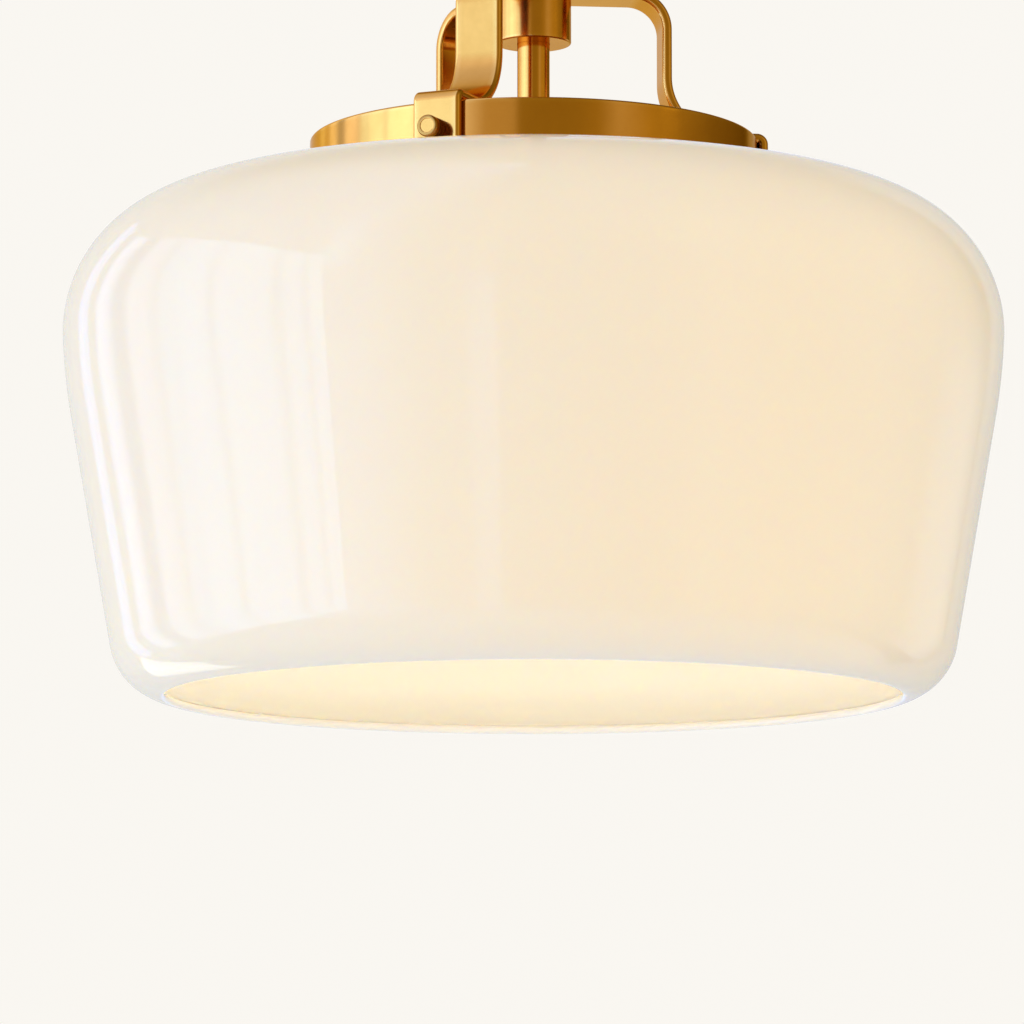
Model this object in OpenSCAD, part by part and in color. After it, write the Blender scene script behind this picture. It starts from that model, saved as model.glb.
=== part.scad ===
// Pendant light: a wide opal glass shade hung by three brass strap arms
// from a stem, a swivel and a round ceiling canopy.
// The origin is on the ceiling, in the middle of the canopy. The lamp hangs down along -Z.

/* [Shade] */
// Widest diameter of the glass
shade_d = 457.2; // [420:1:500]
// Wall of the glass
shade_wall = 4; // [3:0.5:5]
// Outside diameter of the neck that enters the fitter
neck_d = 203.2; // [196:0.2:206]
// How far the lip stands out from the neck
lip_out = 2.9; // [2:0.1:3.2]
// Depth of the lip
lip_h = 5; // [3:0.5:6]
// Concave radius between the neck and the shoulder
neck_fillet = 5; // [4:0.5:6]
// Depth of the shoulder's start below the fitter plate
shoulder_drop = 23.4; // [23:0.1:26]
// Slope of the shoulder where it leaves the neck, in degrees
shoulder_slope = 2.4; // [1:0.1:4]
// Slope of the shoulder where its round corner starts, in degrees
shoulder_end = 10.7; // [9:0.1:14]
// Radius of the round corner between the shoulder and the side
corner_r = 66.5; // [50:0.5:75]
// Radius of the soft belly under the corner
belly_r = 300; // [220:5:400]
// Slope of the side past the widest line, in degrees
belly_start = 2.9; // [1:0.1:5]
// Inward taper of the straight side, in degrees
side_taper = 10.1; // [8:0.1:12]
// Length of the straight side
side_len = 113.6; // [90:0.2:140]
// Radius of the bottom corner that turns in to the opening
bottom_r = 30.2; // [24:0.2:36]
// How far the bottom corner turns, in degrees from the side's normal
bottom_turn = 69.4; // [60:0.2:80]

/* [Shade fitter] */
// Gap between the shade's neck and the inside of the fitter's band
band_gap = 6.1; // [5.6:0.1:8]
// Sheet thickness of the fitter's band
fitter_wall = 1.6; // [1.2:0.1:2]
// Thickness of the fitter's plate
plate_t = 2; // [1.5:0.1:2.5]
// Depth of the fitter's band below the plate's top
band_h = 21.5; // [20:0.5:22]
// Bevel of the band's top edge
band_bevel = 0.6; // [0.3:0.1:0.8]
// Number of air holes in the plate
vent_count = 12; // [6:1:16]
// Diameter of each air hole
vent_d = 8; // [5:0.5:10]
// Diameter of the circle of air holes
vent_circle_d = 120; // [110:1:150]
// Thickness of the soft ring between the plate and the glass
gasket_t = 3.2; // [2.5:0.1:3.4]

/* [Strap arms] */
// Width of each strap
strap_w = 24; // [18:0.5:28]
// Thickness of each strap
strap_t = 4.8; // [4:0.1:6]
// Distance from the lamp's axis to the inner face of the upright run
upright_r = 62.3; // [50:0.5:64]
// Height of the top run's underside above the fitter plate
arm_rise = 71; // [64:0.5:90]
// Inner radius of the top bend
top_bend = 15; // [10:0.5:20]
// Radius of the foot's sweep, on the outer face
foot_bend = 27; // [20:0.5:30]
// Inner radius of the bend over the fitter's edge
edge_bend = 0.6; // [0.4:0.1:1]
// Length of the tab that hangs down outside the band
tab_len = 20; // [19:0.5:21]
// Width of the tenon that enters the hub
tenon_w = 12; // [8:0.5:13]
// Length of the tenon inside the hub
tenon_len = 7.6; // [6:0.2:8]

/* [Hub and stems] */
// Diameter of the hub
hub_d = 37; // [34:0.5:44]
// Height of the hub
hub_h = 40; // [36:0.5:50]
// Height of the hub's underside above the fitter plate
hub_rise = 49; // [46:0.5:54]
// Bevel of the hub's edges
hub_bevel = 1.2; // [0.5:0.1:2]
// Height of the hub's cover ring
cover_h = 5; // [3:0.5:8]
// Outside diameter of the stems
stem_d = 15.9; // [14:0.1:16]
// Length of each of the two stem sections
stem_len = 152.4; // [100:0.2:305]
// Depth of the stems' sockets in the hub
stem_seat = 14; // [12:0.5:14.5]
// Outside diameter of the threaded nipples
nipple_d = 10; // [9:0.1:10.4]
// Bore of the nipples and the hub's wire way
wire_bore = 8; // [7.6:0.1:8]
// Length of the nipple that joins the two stems
joint_len = 24; // [16:1:40]

/* [Swivel] */
// Diameter of the swivel's round body
swivel_d = 24; // [22:0.5:26]
// Height of the swivel's round body
swivel_base_h = 10; // [9:0.5:12]
// Width of the tongue between the ears
tongue_w = 10; // [9:0.5:11]
// Radius of the ears about the pin
ear_r = 9; // [8:0.2:9.6]
// Distance from the swivel's body down to the pin
pin_drop = 11; // [10:0.5:14]
// Diameter of the swivel pin
pin_d = 5; // [4:0.1:5.5]
// Distance from the pin down to the tongue's collar
collar_drop = 12; // [11:0.5:14]
// Height of the tongue's collar
collar_h = 4; // [3:0.5:6]

/* [Canopy] */
// Diameter of the canopy
canopy_d = 130; // [127:1:150]
// Depth of the canopy
canopy_h = 26; // [26:0.5:32]
// Sheet thickness of the canopy
canopy_wall = 1.2; // [1:0.1:1.6]
// Round of the canopy's lower edge
canopy_round = 7; // [3:0.5:9]
// Length of the crossbar
crossbar_len = 114; // [112:1:118]
// Width of the crossbar
crossbar_w = 20; // [18:0.5:22]
// Thickness of the crossbar
crossbar_t = 2.5; // [2:0.1:2.6]
// How far the crossbar's middle hangs below the ceiling
crossbar_drop = 14; // [14:0.2:15]
// Half length of the crossbar's lowered middle
crossbar_mid = 30; // [29.5:0.5:32]
// Distance between the two screws of the ceiling box
box_screw_pitch = 88.9; // [84:0.1:92]
// Length of each slot for a box screw
box_slot_len = 12; // [8:0.5:13]
// Width of each slot for a box screw
box_slot_w = 5; // [4.4:0.1:5.5]
// Distance between the two canopy studs
stud_pitch = 48; // [46:0.5:49]
// Diameter of the canopy studs
stud_d = 4; // [3:0.1:4.2]
// Diameter of the round cap nuts
cap_nut_d = 10; // [8:0.5:12]

/* [Sockets] */
// Number of lamp sockets
socket_count = 3; // [3:1:3]
// Radius of the circle of sockets
socket_circle_r = 50; // [46:0.5:52]
// Outside diameter of a socket
socket_d = 40; // [36:0.5:42]
// Length of a socket
socket_len = 42; // [40:0.5:46]
// Depth of a socket's cavity
cavity_depth = 30; // [29:0.5:32]
// Inside diameter of a screw shell
shell_bore = 26.6; // [26.3:0.1:27]
// Sheet thickness of a screw shell
shell_wall = 0.5; // [0.4:0.1:0.8]
// Depth of the pan's top below the fitter plate
pan_drop = 14; // [13:0.5:18]
// Diameter of the pan
pan_d = 170; // [158:1:180]
// Depth of the pan
pan_h = 17; // [12:0.5:20]
// Sheet thickness of the pan
pan_wall = 1.5; // [1.2:0.1:2]
// Round of the pan's upper edge
pan_round = 6; // [3:0.5:8]

/* [Bulbs] */
// Diameter of a bulb
bulb_d = 60; // [55:1:64]
// Length of a bulb from its contact to its end
bulb_len = 107; // [100:1:115]
// Wall of a bulb
bulb_wall = 1; // [0.8:0.1:1.5]
// Diameter of a bulb's base over its thread
bulb_base_d = 26; // [25:0.1:26]
// Length of the base's screw part
bulb_base_len = 22; // [20:0.5:23]
// Pitch of the base's rounded thread
bulb_pitch = 3.6; // [3:0.1:4]
// Diameter of a bulb's neck
bulb_neck_d = 25; // [22:0.5:25.5]

/* [Screws, nuts and leads] */
// Diameter of a thumb screw's head
thumb_head_d = 10.5; // [9:0.1:12]
// Length of a thumb screw's head
thumb_head_len = 9.5; // [7:0.1:14]
// Bevel of a thumb screw's end
thumb_bevel = 0.8; // [0.3:0.1:1.2]
// Diameter of a thumb screw's shaft
thumb_shaft_d = 5; // [4:0.1:5.4]
// Depth of the thumb screws' axis below the fitter plate's top
thumb_drop = 14.7; // [14.4:0.1:14.9]
// Diameter of a thumb screw's soft tip
tip_d = 6.4; // [6:0.1:6.6]
// Length of a thumb screw's soft tip
tip_len = 2.4; // [2:0.1:2.5]
// Depth of the shaft's seat inside the soft tip
tip_seat = 1.4; // [1:0.1:1.6]
// Size across the flats of the small nuts
nut_af = 14; // [13:0.5:16]
// Size across the flats of the nuts on the inner stem
stem_nut_af = 24; // [22:0.5:26]
// Height of the nuts on the inner stem
stem_nut_h = 5; // [4:0.5:6]
// Diameter of the small screws
screw_d = 4; // [3:0.1:4.4]
// Diameter of the small screws' heads
screw_head_d = 7; // [6:0.1:7.6]
// Height of the small screws' heads
screw_head_h = 2.5; // [2:0.1:3]
// Diameter of the insulated leads
lead_d = 2; // [1.6:0.1:2]

/* [Clearances] */
// Radial clearance of a shaft that turns or slides
run_gap = 0.05; // [0.03:0.01:0.08]
// Gap at a loose or soft seat
seat_gap = 0.3; // [0.25:0.05:0.4]

/* [Hidden] */
$fn = 96;
arm_angles = [0, 120, 240];
socket_angles = [60, 180, 300];
shade_r = shade_d / 2;
neck_r = neck_d / 2;
fitter_r = neck_r + band_gap + fitter_wall;
stem_r = stem_d / 2;
hub_r = hub_d / 2;
swivel_r = swivel_d / 2;
nipple_r = nipple_d / 2;
bore_r = wire_bore / 2;
lead_r = lead_d / 2;
screw_r = screw_d / 2;

// Heights from the ceiling down
washer_t = 1;
canopy_floor_z = -canopy_h;
swivel_top_z = canopy_floor_z - washer_t;
swivel_base_z = swivel_top_z - swivel_base_h;
pin_z = swivel_base_z - pin_drop;
collar_z = pin_z - collar_drop;
stem_top_z = collar_z - collar_h;
stem_mid_z = stem_top_z - stem_len;
stem_end_z = stem_mid_z - stem_len;
hub_top_z = stem_end_z + stem_seat;
hub_z = hub_top_z - hub_h;
fitter_z = hub_z - hub_rise;

// Heights below the fitter plate's top
tip_top = thumb_drop - tip_d / 2;
lip_low = tip_top - seat_gap;
lip_high = lip_low - lip_h;
inner_stem_low = pan_drop + pan_wall + stem_nut_h + 2;
socket_top = pan_drop + pan_wall;
cavity_top = socket_top + socket_len - cavity_depth;
contact_h = 3;
bulb_top = cavity_top + contact_h + seat_gap;

// Crossbar, nipple and leads in the canopy
nut_h = 2.5;
nipple_high_z = -crossbar_drop + nut_h;
retainer_h = 3;
retainer_r = nipple_r + 2.6;
retainer_z = swivel_base_z + 0.4;
nipple_low_z = retainer_z;
lead_circle_r = bore_r - lead_r - seat_gap;
lead_bend = 3.5;

// Thumb screws, measured outward along each arm
tab_in_r = fitter_r + seat_gap;
tab_out_r = tab_in_r + strap_t;
tip_in_r = neck_r + seat_gap;
shaft_in_r = tip_in_r + tip_len - tip_seat;
head_in_r = tab_out_r + seat_gap;

// Points on an arc about c, from angle a0 to a1
function arc(c, r, a0, a1, n = 12) =
    [for (i = [0:n]) let (a = a0 + (a1 - a0) * i / n) [c[0] + r * cos(a), c[1] + r * sin(a)]];
function unit(a) = [cos(a), sin(a)];

// The glass wall is a chain of tangent arcs. Each centre follows from the one before,
// and the angles are those of the outer face's normal.
neck_c = [neck_r + neck_fillet, -shoulder_drop + neck_fillet * cos(shoulder_slope)];
slope_a = 90 - shoulder_slope;
end_a = 90 - shoulder_end;
shoulder_start = neck_c - neck_fillet * unit(slope_a);
shoulder_r = (shade_r - corner_r * (1 - cos(end_a)) - shoulder_start[0])
    / (cos(end_a) - cos(slope_a));
shoulder_c = shoulder_start - shoulder_r * unit(slope_a);
corner_c = shoulder_c + (shoulder_r - corner_r) * unit(end_a);
belly_c = corner_c + (corner_r - belly_r) * unit(-belly_start);
side_dir = unit(-side_taper - 90);
bottom_c = belly_c + (belly_r - bottom_r) * unit(-side_taper) + side_len * side_dir;
lip_a = -side_taper - bottom_turn;
lip_c = bottom_c + (bottom_r - shade_wall / 2) * unit(lip_a);

// One face of the wall, as far inside the outer face as given
function shade_face(inset) = concat(
    arc(neck_c, neck_fillet + inset, 180, 180 + slope_a, 8),
    arc(shoulder_c, shoulder_r - inset, slope_a, end_a, 8),
    arc(corner_c, corner_r - inset, end_a, -belly_start, 24),
    arc(belly_c, belly_r - inset, -belly_start, -side_taper, 6),
    arc(bottom_c, bottom_r - inset, -side_taper, lip_a, 18));
function reversed(list) = [for (i = [len(list) - 1:-1:0]) list[i]];

module ring(r_out, r_in, h) {
    difference() {
        cylinder(r = r_out, h = h);
        translate([0, 0, -1]) cylinder(r = r_in, h = h + 2);
    }
}

module hex_nut(af, bore, h) {
    difference() {
        cylinder(d = af / cos(30), h = h, $fn = 6);
        translate([0, 0, -1]) cylinder(r = bore, h = h + 2);
    }
}

// A solid of revolution about the radial axis of an arm, at the thumb screw's height
module at_thumb(angle, r) {
    rotate([0, 0, angle])
        translate([r, 0, fitter_z - thumb_drop])
            rotate([0, 90, 0])
                children();
}

// A screw with a flat head: the head sits on z = 0 and the shaft goes down
module small_screw(shaft_len) {
    cylinder(d = screw_head_d, h = screw_head_h);
    translate([0, 0, -shaft_len]) cylinder(r = screw_r, h = shaft_len + 1);
}

// An insulated lead that rises, bends and runs out along +X
module bent_lead(rise, bend, run) {
    cylinder(r = lead_r, h = rise);
    translate([bend, 0, rise])
        rotate([90, 0, 0])
            rotate([0, 0, 90])
                rotate_extrude(angle = 90) translate([bend, 0]) circle(r = lead_r, $fn = 32);
    translate([bend, 0, rise + bend]) rotate([0, 90, 0]) cylinder(r = lead_r, h = run);
}

// Ceiling end

module crossbar() {
    leg = crossbar_drop;
    half = crossbar_len / 2;
    foot = crossbar_mid + 6;
    slot_in = box_slot_len / 2 - box_slot_w / 2;
    color("silver")
        difference() {
            translate([0, crossbar_w / 2, 0])
                rotate([90, 0, 0])
                    linear_extrude(height = crossbar_w)
                        polygon([[-half, 0], [-foot, 0], [-crossbar_mid, -leg], [crossbar_mid, -leg],
                            [foot, 0], [half, 0], [half, -crossbar_t], [foot - 1, -crossbar_t],
                            [crossbar_mid + 1, -leg - crossbar_t],
                            [-crossbar_mid - 1, -leg - crossbar_t],
                            [-foot + 1, -crossbar_t], [-half, -crossbar_t]]);
            for (side = [-1, 1]) {
                translate([side * box_screw_pitch / 2, 0, -crossbar_t - 1]) {
                    translate([-slot_in, 0, 0]) cylinder(d = box_slot_w, h = crossbar_t + 2);
                    translate([slot_in, 0, 0]) cylinder(d = box_slot_w, h = crossbar_t + 2);
                    translate([-slot_in, -box_slot_w / 2, 0])
                        cube([2 * slot_in, box_slot_w, crossbar_t + 2]);
                }
                translate([side * stud_pitch / 2, 0, -leg - crossbar_t - 1])
                    cylinder(r = stud_d / 2 + run_gap, h = crossbar_t + 2);
            }
            translate([0, 0, -leg - crossbar_t - 1])
                cylinder(r = nipple_r + run_gap, h = crossbar_t + 2);
            translate([-ground_x, 0, -leg - crossbar_t - 1])
                cylinder(r = screw_r + run_gap, h = crossbar_t + 2);
        }
}
ground_x = (nut_af / cos(30) / 2 + stud_pitch / 2) / 2;

module crossbar_nipple() {
    color("silver")
        translate([0, 0, nipple_low_z]) ring(nipple_r, bore_r, nipple_high_z - nipple_low_z);
}

module nipple_locknuts() {
    color("silver") {
        translate([0, 0, -crossbar_drop]) hex_nut(nut_af, nipple_r + run_gap, nut_h);
        translate([0, 0, -crossbar_drop - crossbar_t - nut_h])
            hex_nut(nut_af, nipple_r + run_gap, nut_h);
    }
}

module ground_screw() {
    color("green")
        translate([-ground_x, 0, -crossbar_drop]) {
            cylinder(r = screw_r + 1, h = screw_head_h);
            translate([0, 0, -crossbar_t - 2]) cylinder(r = screw_r, h = crossbar_t + 3);
        }
}

module canopy_studs() {
    tail = canopy_h - crossbar_drop + 4;
    color("silver")
        for (side = [-1, 1])
            translate([side * stud_pitch / 2, 0, -crossbar_drop]) {
                cylinder(d = stud_d + 3, h = nut_h);
                translate([0, 0, -tail]) cylinder(d = stud_d, h = tail + 1);
            }
}

module canopy() {
    r = canopy_d / 2;
    low = -canopy_h;
    outer = arc([r - canopy_round, low + canopy_round], canopy_round, 0, -90);
    inner = arc([r - canopy_round, low + canopy_round], canopy_round - canopy_wall, -90, 0);
    color("darkgoldenrod")
        difference() {
            rotate_extrude()
                polygon(concat([[r, 0]], outer, [[0, low], [0, low + canopy_wall]], inner,
                    [[r - canopy_wall, 0]]));
            translate([0, 0, low - 1]) cylinder(r = nipple_r + run_gap, h = canopy_wall + 2);
            for (side = [-1, 1])
                translate([side * stud_pitch / 2, 0, low - 1])
                    cylinder(r = stud_d / 2 + run_gap, h = canopy_wall + 2);
        }
}

module canopy_cap_nuts() {
    r = cap_nut_d / 2;
    skirt = 3;
    color("darkgoldenrod")
        for (side = [-1, 1])
            translate([side * stud_pitch / 2, 0, -canopy_h])
                difference() {
                    rotate_extrude()
                        polygon(concat([[0, 0], [r, 0]], arc([0, -skirt], r, 0, -90)));
                    translate([0, 0, -5]) cylinder(r = stud_d / 2 + run_gap, h = 6);
                }
}

// A lead from the nipple's top to its wire nut
module canopy_lead(angle, rise, run) {
    start = nipple_low_z;
    rotate([0, 0, angle])
        translate([lead_circle_r, 0, start]) bent_lead(rise - start, lead_bend, run);
}
canopy_lead_z = nipple_high_z + 0.5;
wire_nut_r0 = 24;
wire_nut_run = wire_nut_r0 - lead_circle_r - lead_bend;

module line_lead() {
    color("black") canopy_lead(60, canopy_lead_z, wire_nut_run);
}

module neutral_lead() {
    color("white") canopy_lead(-60, canopy_lead_z, wire_nut_run);
}

// The ground lead stays low and ends over its screw
module ground_lead() {
    bend = lead_r + 0.6;
    run = ground_x - lead_circle_r - bend;
    start = nipple_low_z;
    top = -crossbar_drop + screw_head_h + seat_gap + lead_r;
    color("green")
        rotate([0, 0, 180])
            translate([lead_circle_r, 0, start]) bent_lead(top - bend - start, bend, run);
}

module wire_nuts() {
    z = canopy_lead_z + lead_bend;
    color("gold")
        for (angle = [60, -60])
            rotate([0, 0, angle])
                translate([wire_nut_r0, 0, z])
                    rotate([0, 90, 0])
                        rotate_extrude()
                            polygon([[0, 0], [4.6, 0], [4.6, 4], [3, 17], [2.4, 18], [0, 18]]);
}

// Swivel

module swivel_washer() {
    color("darkgoldenrod")
        translate([0, 0, swivel_top_z]) ring(swivel_r + 1, nipple_r + run_gap, washer_t);
}

module swivel_retainer() {
    color("silver")
        translate([0, 0, retainer_z]) ring(retainer_r, nipple_r, retainer_h);
}

module swivel_yoke() {
    ear_in = tongue_w / 2 + run_gap;
    color("darkgoldenrod")
        difference() {
            union() {
                translate([0, 0, swivel_base_z])
                    cylinder(r = swivel_r, h = swivel_base_h - run_gap);
                intersection() {
                    translate([0, 0, pin_z - ear_r])
                        cylinder(r = swivel_r, h = pin_drop + ear_r + 1);
                    union() {
                        translate([-swivel_r, -ear_r, pin_z])
                            cube([swivel_d, 2 * ear_r, pin_drop + 1]);
                        translate([-swivel_r, 0, pin_z])
                            rotate([0, 90, 0]) cylinder(r = ear_r, h = swivel_d);
                    }
                }
            }
            translate([-ear_in, -swivel_r - 1, pin_z - ear_r - 1])
                cube([2 * ear_in, swivel_d + 2, ear_r + 1 + pin_drop]);
            translate([0, 0, swivel_base_z - 1])
                cylinder(r = nipple_r + run_gap, h = swivel_base_h + 2);
            translate([0, 0, swivel_base_z - 1])
                cylinder(r = retainer_r + run_gap, h = retainer_h + 1.5);
            translate([-swivel_r - 1, 0, pin_z])
                rotate([0, 90, 0]) cylinder(r = pin_d / 2 + run_gap, h = swivel_d + 2);
        }
}

module swivel_pin() {
    head_t = 1.4;
    color("darkgoldenrod")
        translate([0, 0, pin_z])
            rotate([0, 90, 0])
                translate([0, 0, -swivel_r - head_t]) {
                    cylinder(d = pin_d, h = swivel_d + 2 * head_t);
                    cylinder(d = pin_d + 3, h = head_t);
                    translate([0, 0, swivel_d + head_t]) cylinder(d = pin_d + 3, h = head_t);
                }
}

module swivel_tongue() {
    spigot = 12;
    way = collar_z - stem_top_z + spigot + 4;
    color("darkgoldenrod")
        difference() {
            union() {
                translate([-tongue_w / 2, 0, pin_z])
                    rotate([0, 90, 0]) cylinder(r = ear_r, h = tongue_w);
                translate([-tongue_w / 2, -ear_r, collar_z - 1])
                    cube([tongue_w, 2 * ear_r, collar_drop + 1]);
                translate([0, 0, stem_top_z]) cylinder(r = stem_r + 1.5, h = collar_h);
                translate([0, 0, stem_top_z - spigot]) cylinder(r = nipple_r, h = spigot + 1);
            }
            translate([-tongue_w, 0, pin_z])
                rotate([0, 90, 0]) cylinder(r = pin_d / 2 + run_gap, h = 2 * tongue_w);
            translate([0, 0, stem_top_z - spigot - 1]) cylinder(r = bore_r, h = way);
        }
}

// Stems and hub

module upper_stem() {
    color("darkgoldenrod")
        translate([0, 0, stem_mid_z]) ring(stem_r, nipple_r + run_gap, stem_len);
}

module stem_nipple() {
    color("silver")
        translate([0, 0, stem_mid_z - joint_len / 2]) ring(nipple_r, bore_r, joint_len);
}

module lower_stem() {
    color("darkgoldenrod")
        translate([0, 0, stem_end_z]) ring(stem_r, nipple_r + run_gap, stem_len);
}

module hub() {
    tenon_z = fitter_z + arm_rise;
    seat_r = stem_r + run_gap;
    color("darkgoldenrod")
        difference() {
            translate([0, 0, hub_z])
                rotate_extrude()
                    polygon([[0, 0], [hub_r - hub_bevel, 0], [hub_r, hub_bevel],
                        [hub_r, hub_h - hub_bevel], [hub_r - hub_bevel, hub_h], [0, hub_h]]);
            translate([0, 0, hub_z - 1]) cylinder(r = bore_r, h = hub_h + 2);
            translate([0, 0, stem_end_z]) cylinder(r = seat_r, h = stem_seat + 1);
            translate([0, 0, hub_z - 1]) cylinder(r = seat_r, h = stem_seat + 1);
            for (angle = arm_angles)
                rotate([0, 0, angle]) {
                    translate([hub_r - tenon_len - run_gap, -tenon_w / 2 - run_gap, tenon_z - run_gap])
                        cube([tenon_len + 2, tenon_w + 2 * run_gap, strap_t + 2 * run_gap]);
                    translate([arm_screw_r, 0, tenon_z - 6])
                        cylinder(r = arm_screw_shaft_r + run_gap, h = hub_h);
                    translate([arm_screw_r, 0, hub_top_z - screw_head_h])
                        cylinder(r = arm_screw_head_r + run_gap, h = screw_head_h + 1);
                }
        }
}
arm_screw_shaft_r = 1.5;
arm_screw_head_r = 2.6;
arm_screw_r = hub_r - tenon_len / 2 - 0.4;

module hub_cover() {
    color("darkgoldenrod")
        translate([0, 0, hub_top_z])
            difference() {
                rotate_extrude()
                    polygon([[0, 0], [hub_r - hub_bevel, 0], [stem_r + 4, cover_h], [0, cover_h]]);
                translate([0, 0, -1]) cylinder(r = stem_r + run_gap, h = cover_h + 2);
            }
}

module arm_screws() {
    shaft = hub_top_z - (fitter_z + arm_rise) - screw_head_h + 5;
    color("silver")
        for (angle = arm_angles)
            rotate([0, 0, angle])
                translate([arm_screw_r, 0, hub_top_z - screw_head_h]) {
                    cylinder(r = arm_screw_head_r, h = screw_head_h);
                    translate([0, 0, -shaft]) cylinder(r = arm_screw_shaft_r, h = shaft + 1);
                }
}

// A quarter of a flat ring, from angle a0 to a0 + 90
module quarter(c, r_in, r_out, a0) {
    translate(c)
        rotate(a0)
            intersection() {
                difference() {
                    circle(r = r_out);
                    circle(r = r_in);
                }
                square(r_out + 1);
            }
}

// Side view of a strap: distance from the axis against height above the plate
module strap_outline() {
    top_c = [upright_r - top_bend, arm_rise - top_bend];
    foot_c = [upright_r + strap_t + foot_bend, strap_t + foot_bend];
    edge_c = [tab_in_r - edge_bend, -edge_bend];
    start = hub_r - 5;
    translate([start, arm_rise]) square([top_c[0] - start, strap_t]);
    quarter(top_c, top_bend, top_bend + strap_t, 0);
    translate([upright_r, foot_c[1]]) square([strap_t, top_c[1] - foot_c[1]]);
    quarter(foot_c, foot_bend, foot_bend + strap_t, 180);
    translate([foot_c[0], 0]) square([edge_c[0] - foot_c[0], strap_t]);
    quarter(edge_c, edge_bend, edge_bend + strap_t, 0);
    translate([tab_in_r, -tab_len]) square([strap_t, tab_len - edge_bend]);
}

module strap_arm(angle) {
    color("goldenrod")
        rotate([0, 0, angle])
            translate([0, 0, fitter_z])
                difference() {
                    union() {
                        difference() {
                            translate([0, strap_w / 2, 0])
                                rotate([90, 0, 0]) linear_extrude(height = strap_w) strap_outline();
                            translate([0, 0, arm_rise - 1])
                                cylinder(r = hub_r + run_gap, h = strap_t + 2);
                        }
                        translate([hub_r - tenon_len, -tenon_w / 2, arm_rise])
                            cube([tenon_len + 2, tenon_w, strap_t]);
                    }
                    translate([arm_screw_r, 0, arm_rise - 1])
                        cylinder(r = arm_screw_shaft_r + run_gap, h = strap_t + 2);
                    translate([fitter_r - 1, 0, -thumb_drop])
                        rotate([0, 90, 0])
                            cylinder(r = thumb_shaft_d / 2 + run_gap, h = strap_t + 4);
                }
}

// Fitter

module inner_stem() {
    top = hub_z + stem_seat;
    low = fitter_z - inner_stem_low;
    color("darkgoldenrod")
        translate([0, 0, low]) ring(stem_r, bore_r, top - low);
}

module fitter_plate() {
    color("darkgoldenrod")
        translate([0, 0, fitter_z])
            difference() {
                rotate_extrude()
                    polygon([[0, 0], [fitter_r - band_bevel, 0], [fitter_r, -band_bevel],
                        [fitter_r, -band_h], [fitter_r - fitter_wall, -band_h],
                        [fitter_r - fitter_wall, -plate_t], [0, -plate_t]]);
                translate([0, 0, -plate_t - 1]) cylinder(r = stem_r + run_gap, h = plate_t + 2);
                for (i = [0:vent_count - 1])
                    rotate([0, 0, (i + 0.5) * 360 / vent_count])
                        translate([vent_circle_d / 2, 0, -plate_t - 1])
                            cylinder(d = vent_d, h = plate_t + 2);
                for (angle = arm_angles)
                    rotate([0, 0, angle])
                        translate([fitter_r - fitter_wall - 1, 0, -thumb_drop])
                            rotate([0, 90, 0])
                                cylinder(r = thumb_shaft_d / 2 + run_gap, h = fitter_wall + 2);
            }
}

module fitter_nut() {
    color("silver")
        translate([0, 0, fitter_z - plate_t - stem_nut_h])
            hex_nut(stem_nut_af, stem_r + run_gap, stem_nut_h);
}

module shade_gasket() {
    r_out = fitter_r - fitter_wall - seat_gap;
    color("dimgray")
        translate([0, 0, fitter_z - plate_t - gasket_height])
            ring(r_out, neck_r - shade_wall, gasket_height);
}
gasket_height = min(gasket_t, lip_high - plate_t - seat_gap);

module thumb_screw(angle) {
    shaft = head_in_r - shaft_in_r;
    r = thumb_head_d / 2;
    color("goldenrod")
        at_thumb(angle, shaft_in_r) {
            cylinder(d = thumb_shaft_d, h = shaft + 1);
            translate([0, 0, shaft])
                rotate_extrude()
                    polygon([[0, 0], [r - thumb_bevel / 2, 0], [r, thumb_bevel / 2],
                        [r, thumb_head_len - thumb_bevel], [r - thumb_bevel, thumb_head_len],
                        [0, thumb_head_len]]);
        }
}

module soft_tip(angle) {
    color("white")
        at_thumb(angle, tip_in_r)
            difference() {
                cylinder(d = tip_d, h = tip_len);
                translate([0, 0, tip_len - tip_seat])
                    cylinder(r = thumb_shaft_d / 2 + run_gap, h = tip_seat + 1);
            }
}

module glass_shade() {
    top = -lip_high;
    lip_r = neck_r + lip_out;
    soft = 1;
    outline = concat(
        [[neck_r - shade_wall, top]],
        arc([lip_r - soft, top - soft], soft, 90, 0, 4),
        arc([lip_r - soft, -lip_low + soft], soft, 0, -90, 4),
        [[neck_r, -lip_low]],
        shade_face(0),
        arc(lip_c, shade_wall / 2, lip_a, lip_a - 180, 10),
        reversed(shade_face(shade_wall)));
    color("ivory")
        translate([0, 0, fitter_z]) rotate_extrude($fn = 128) polygon(outline);
}

// Sockets and bulbs

module at_socket(i) {
    rotate([0, 0, socket_angles[i]])
        translate([socket_circle_r, 0, fitter_z])
            children();
}

module socket_pan() {
    r = pan_d / 2;
    edge = [r - pan_round, -pan_round];
    color("white")
        difference() {
            translate([0, 0, fitter_z - pan_drop])
                rotate_extrude()
                    polygon(concat([[0, 0]], arc(edge, pan_round, 90, 0), [[r, -pan_h],
                        [r - pan_wall, -pan_h]], arc(edge, pan_round - pan_wall, 0, 90),
                        [[0, -pan_wall]]));
            translate([0, 0, fitter_z - pan_drop - pan_wall - 1])
                cylinder(r = stem_r + run_gap, h = pan_wall + 2);
            for (i = [0:socket_count - 1], side = [-1, 1])
                at_socket(i)
                    translate([0, side * socket_d / 4, -pan_drop - pan_wall - 1])
                        cylinder(r = screw_r + run_gap, h = pan_wall + 2);
        }
}

module pan_nut() {
    color("silver")
        translate([0, 0, fitter_z - pan_drop - pan_wall - stem_nut_h])
            hex_nut(stem_nut_af, stem_r + run_gap, stem_nut_h);
}

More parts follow.
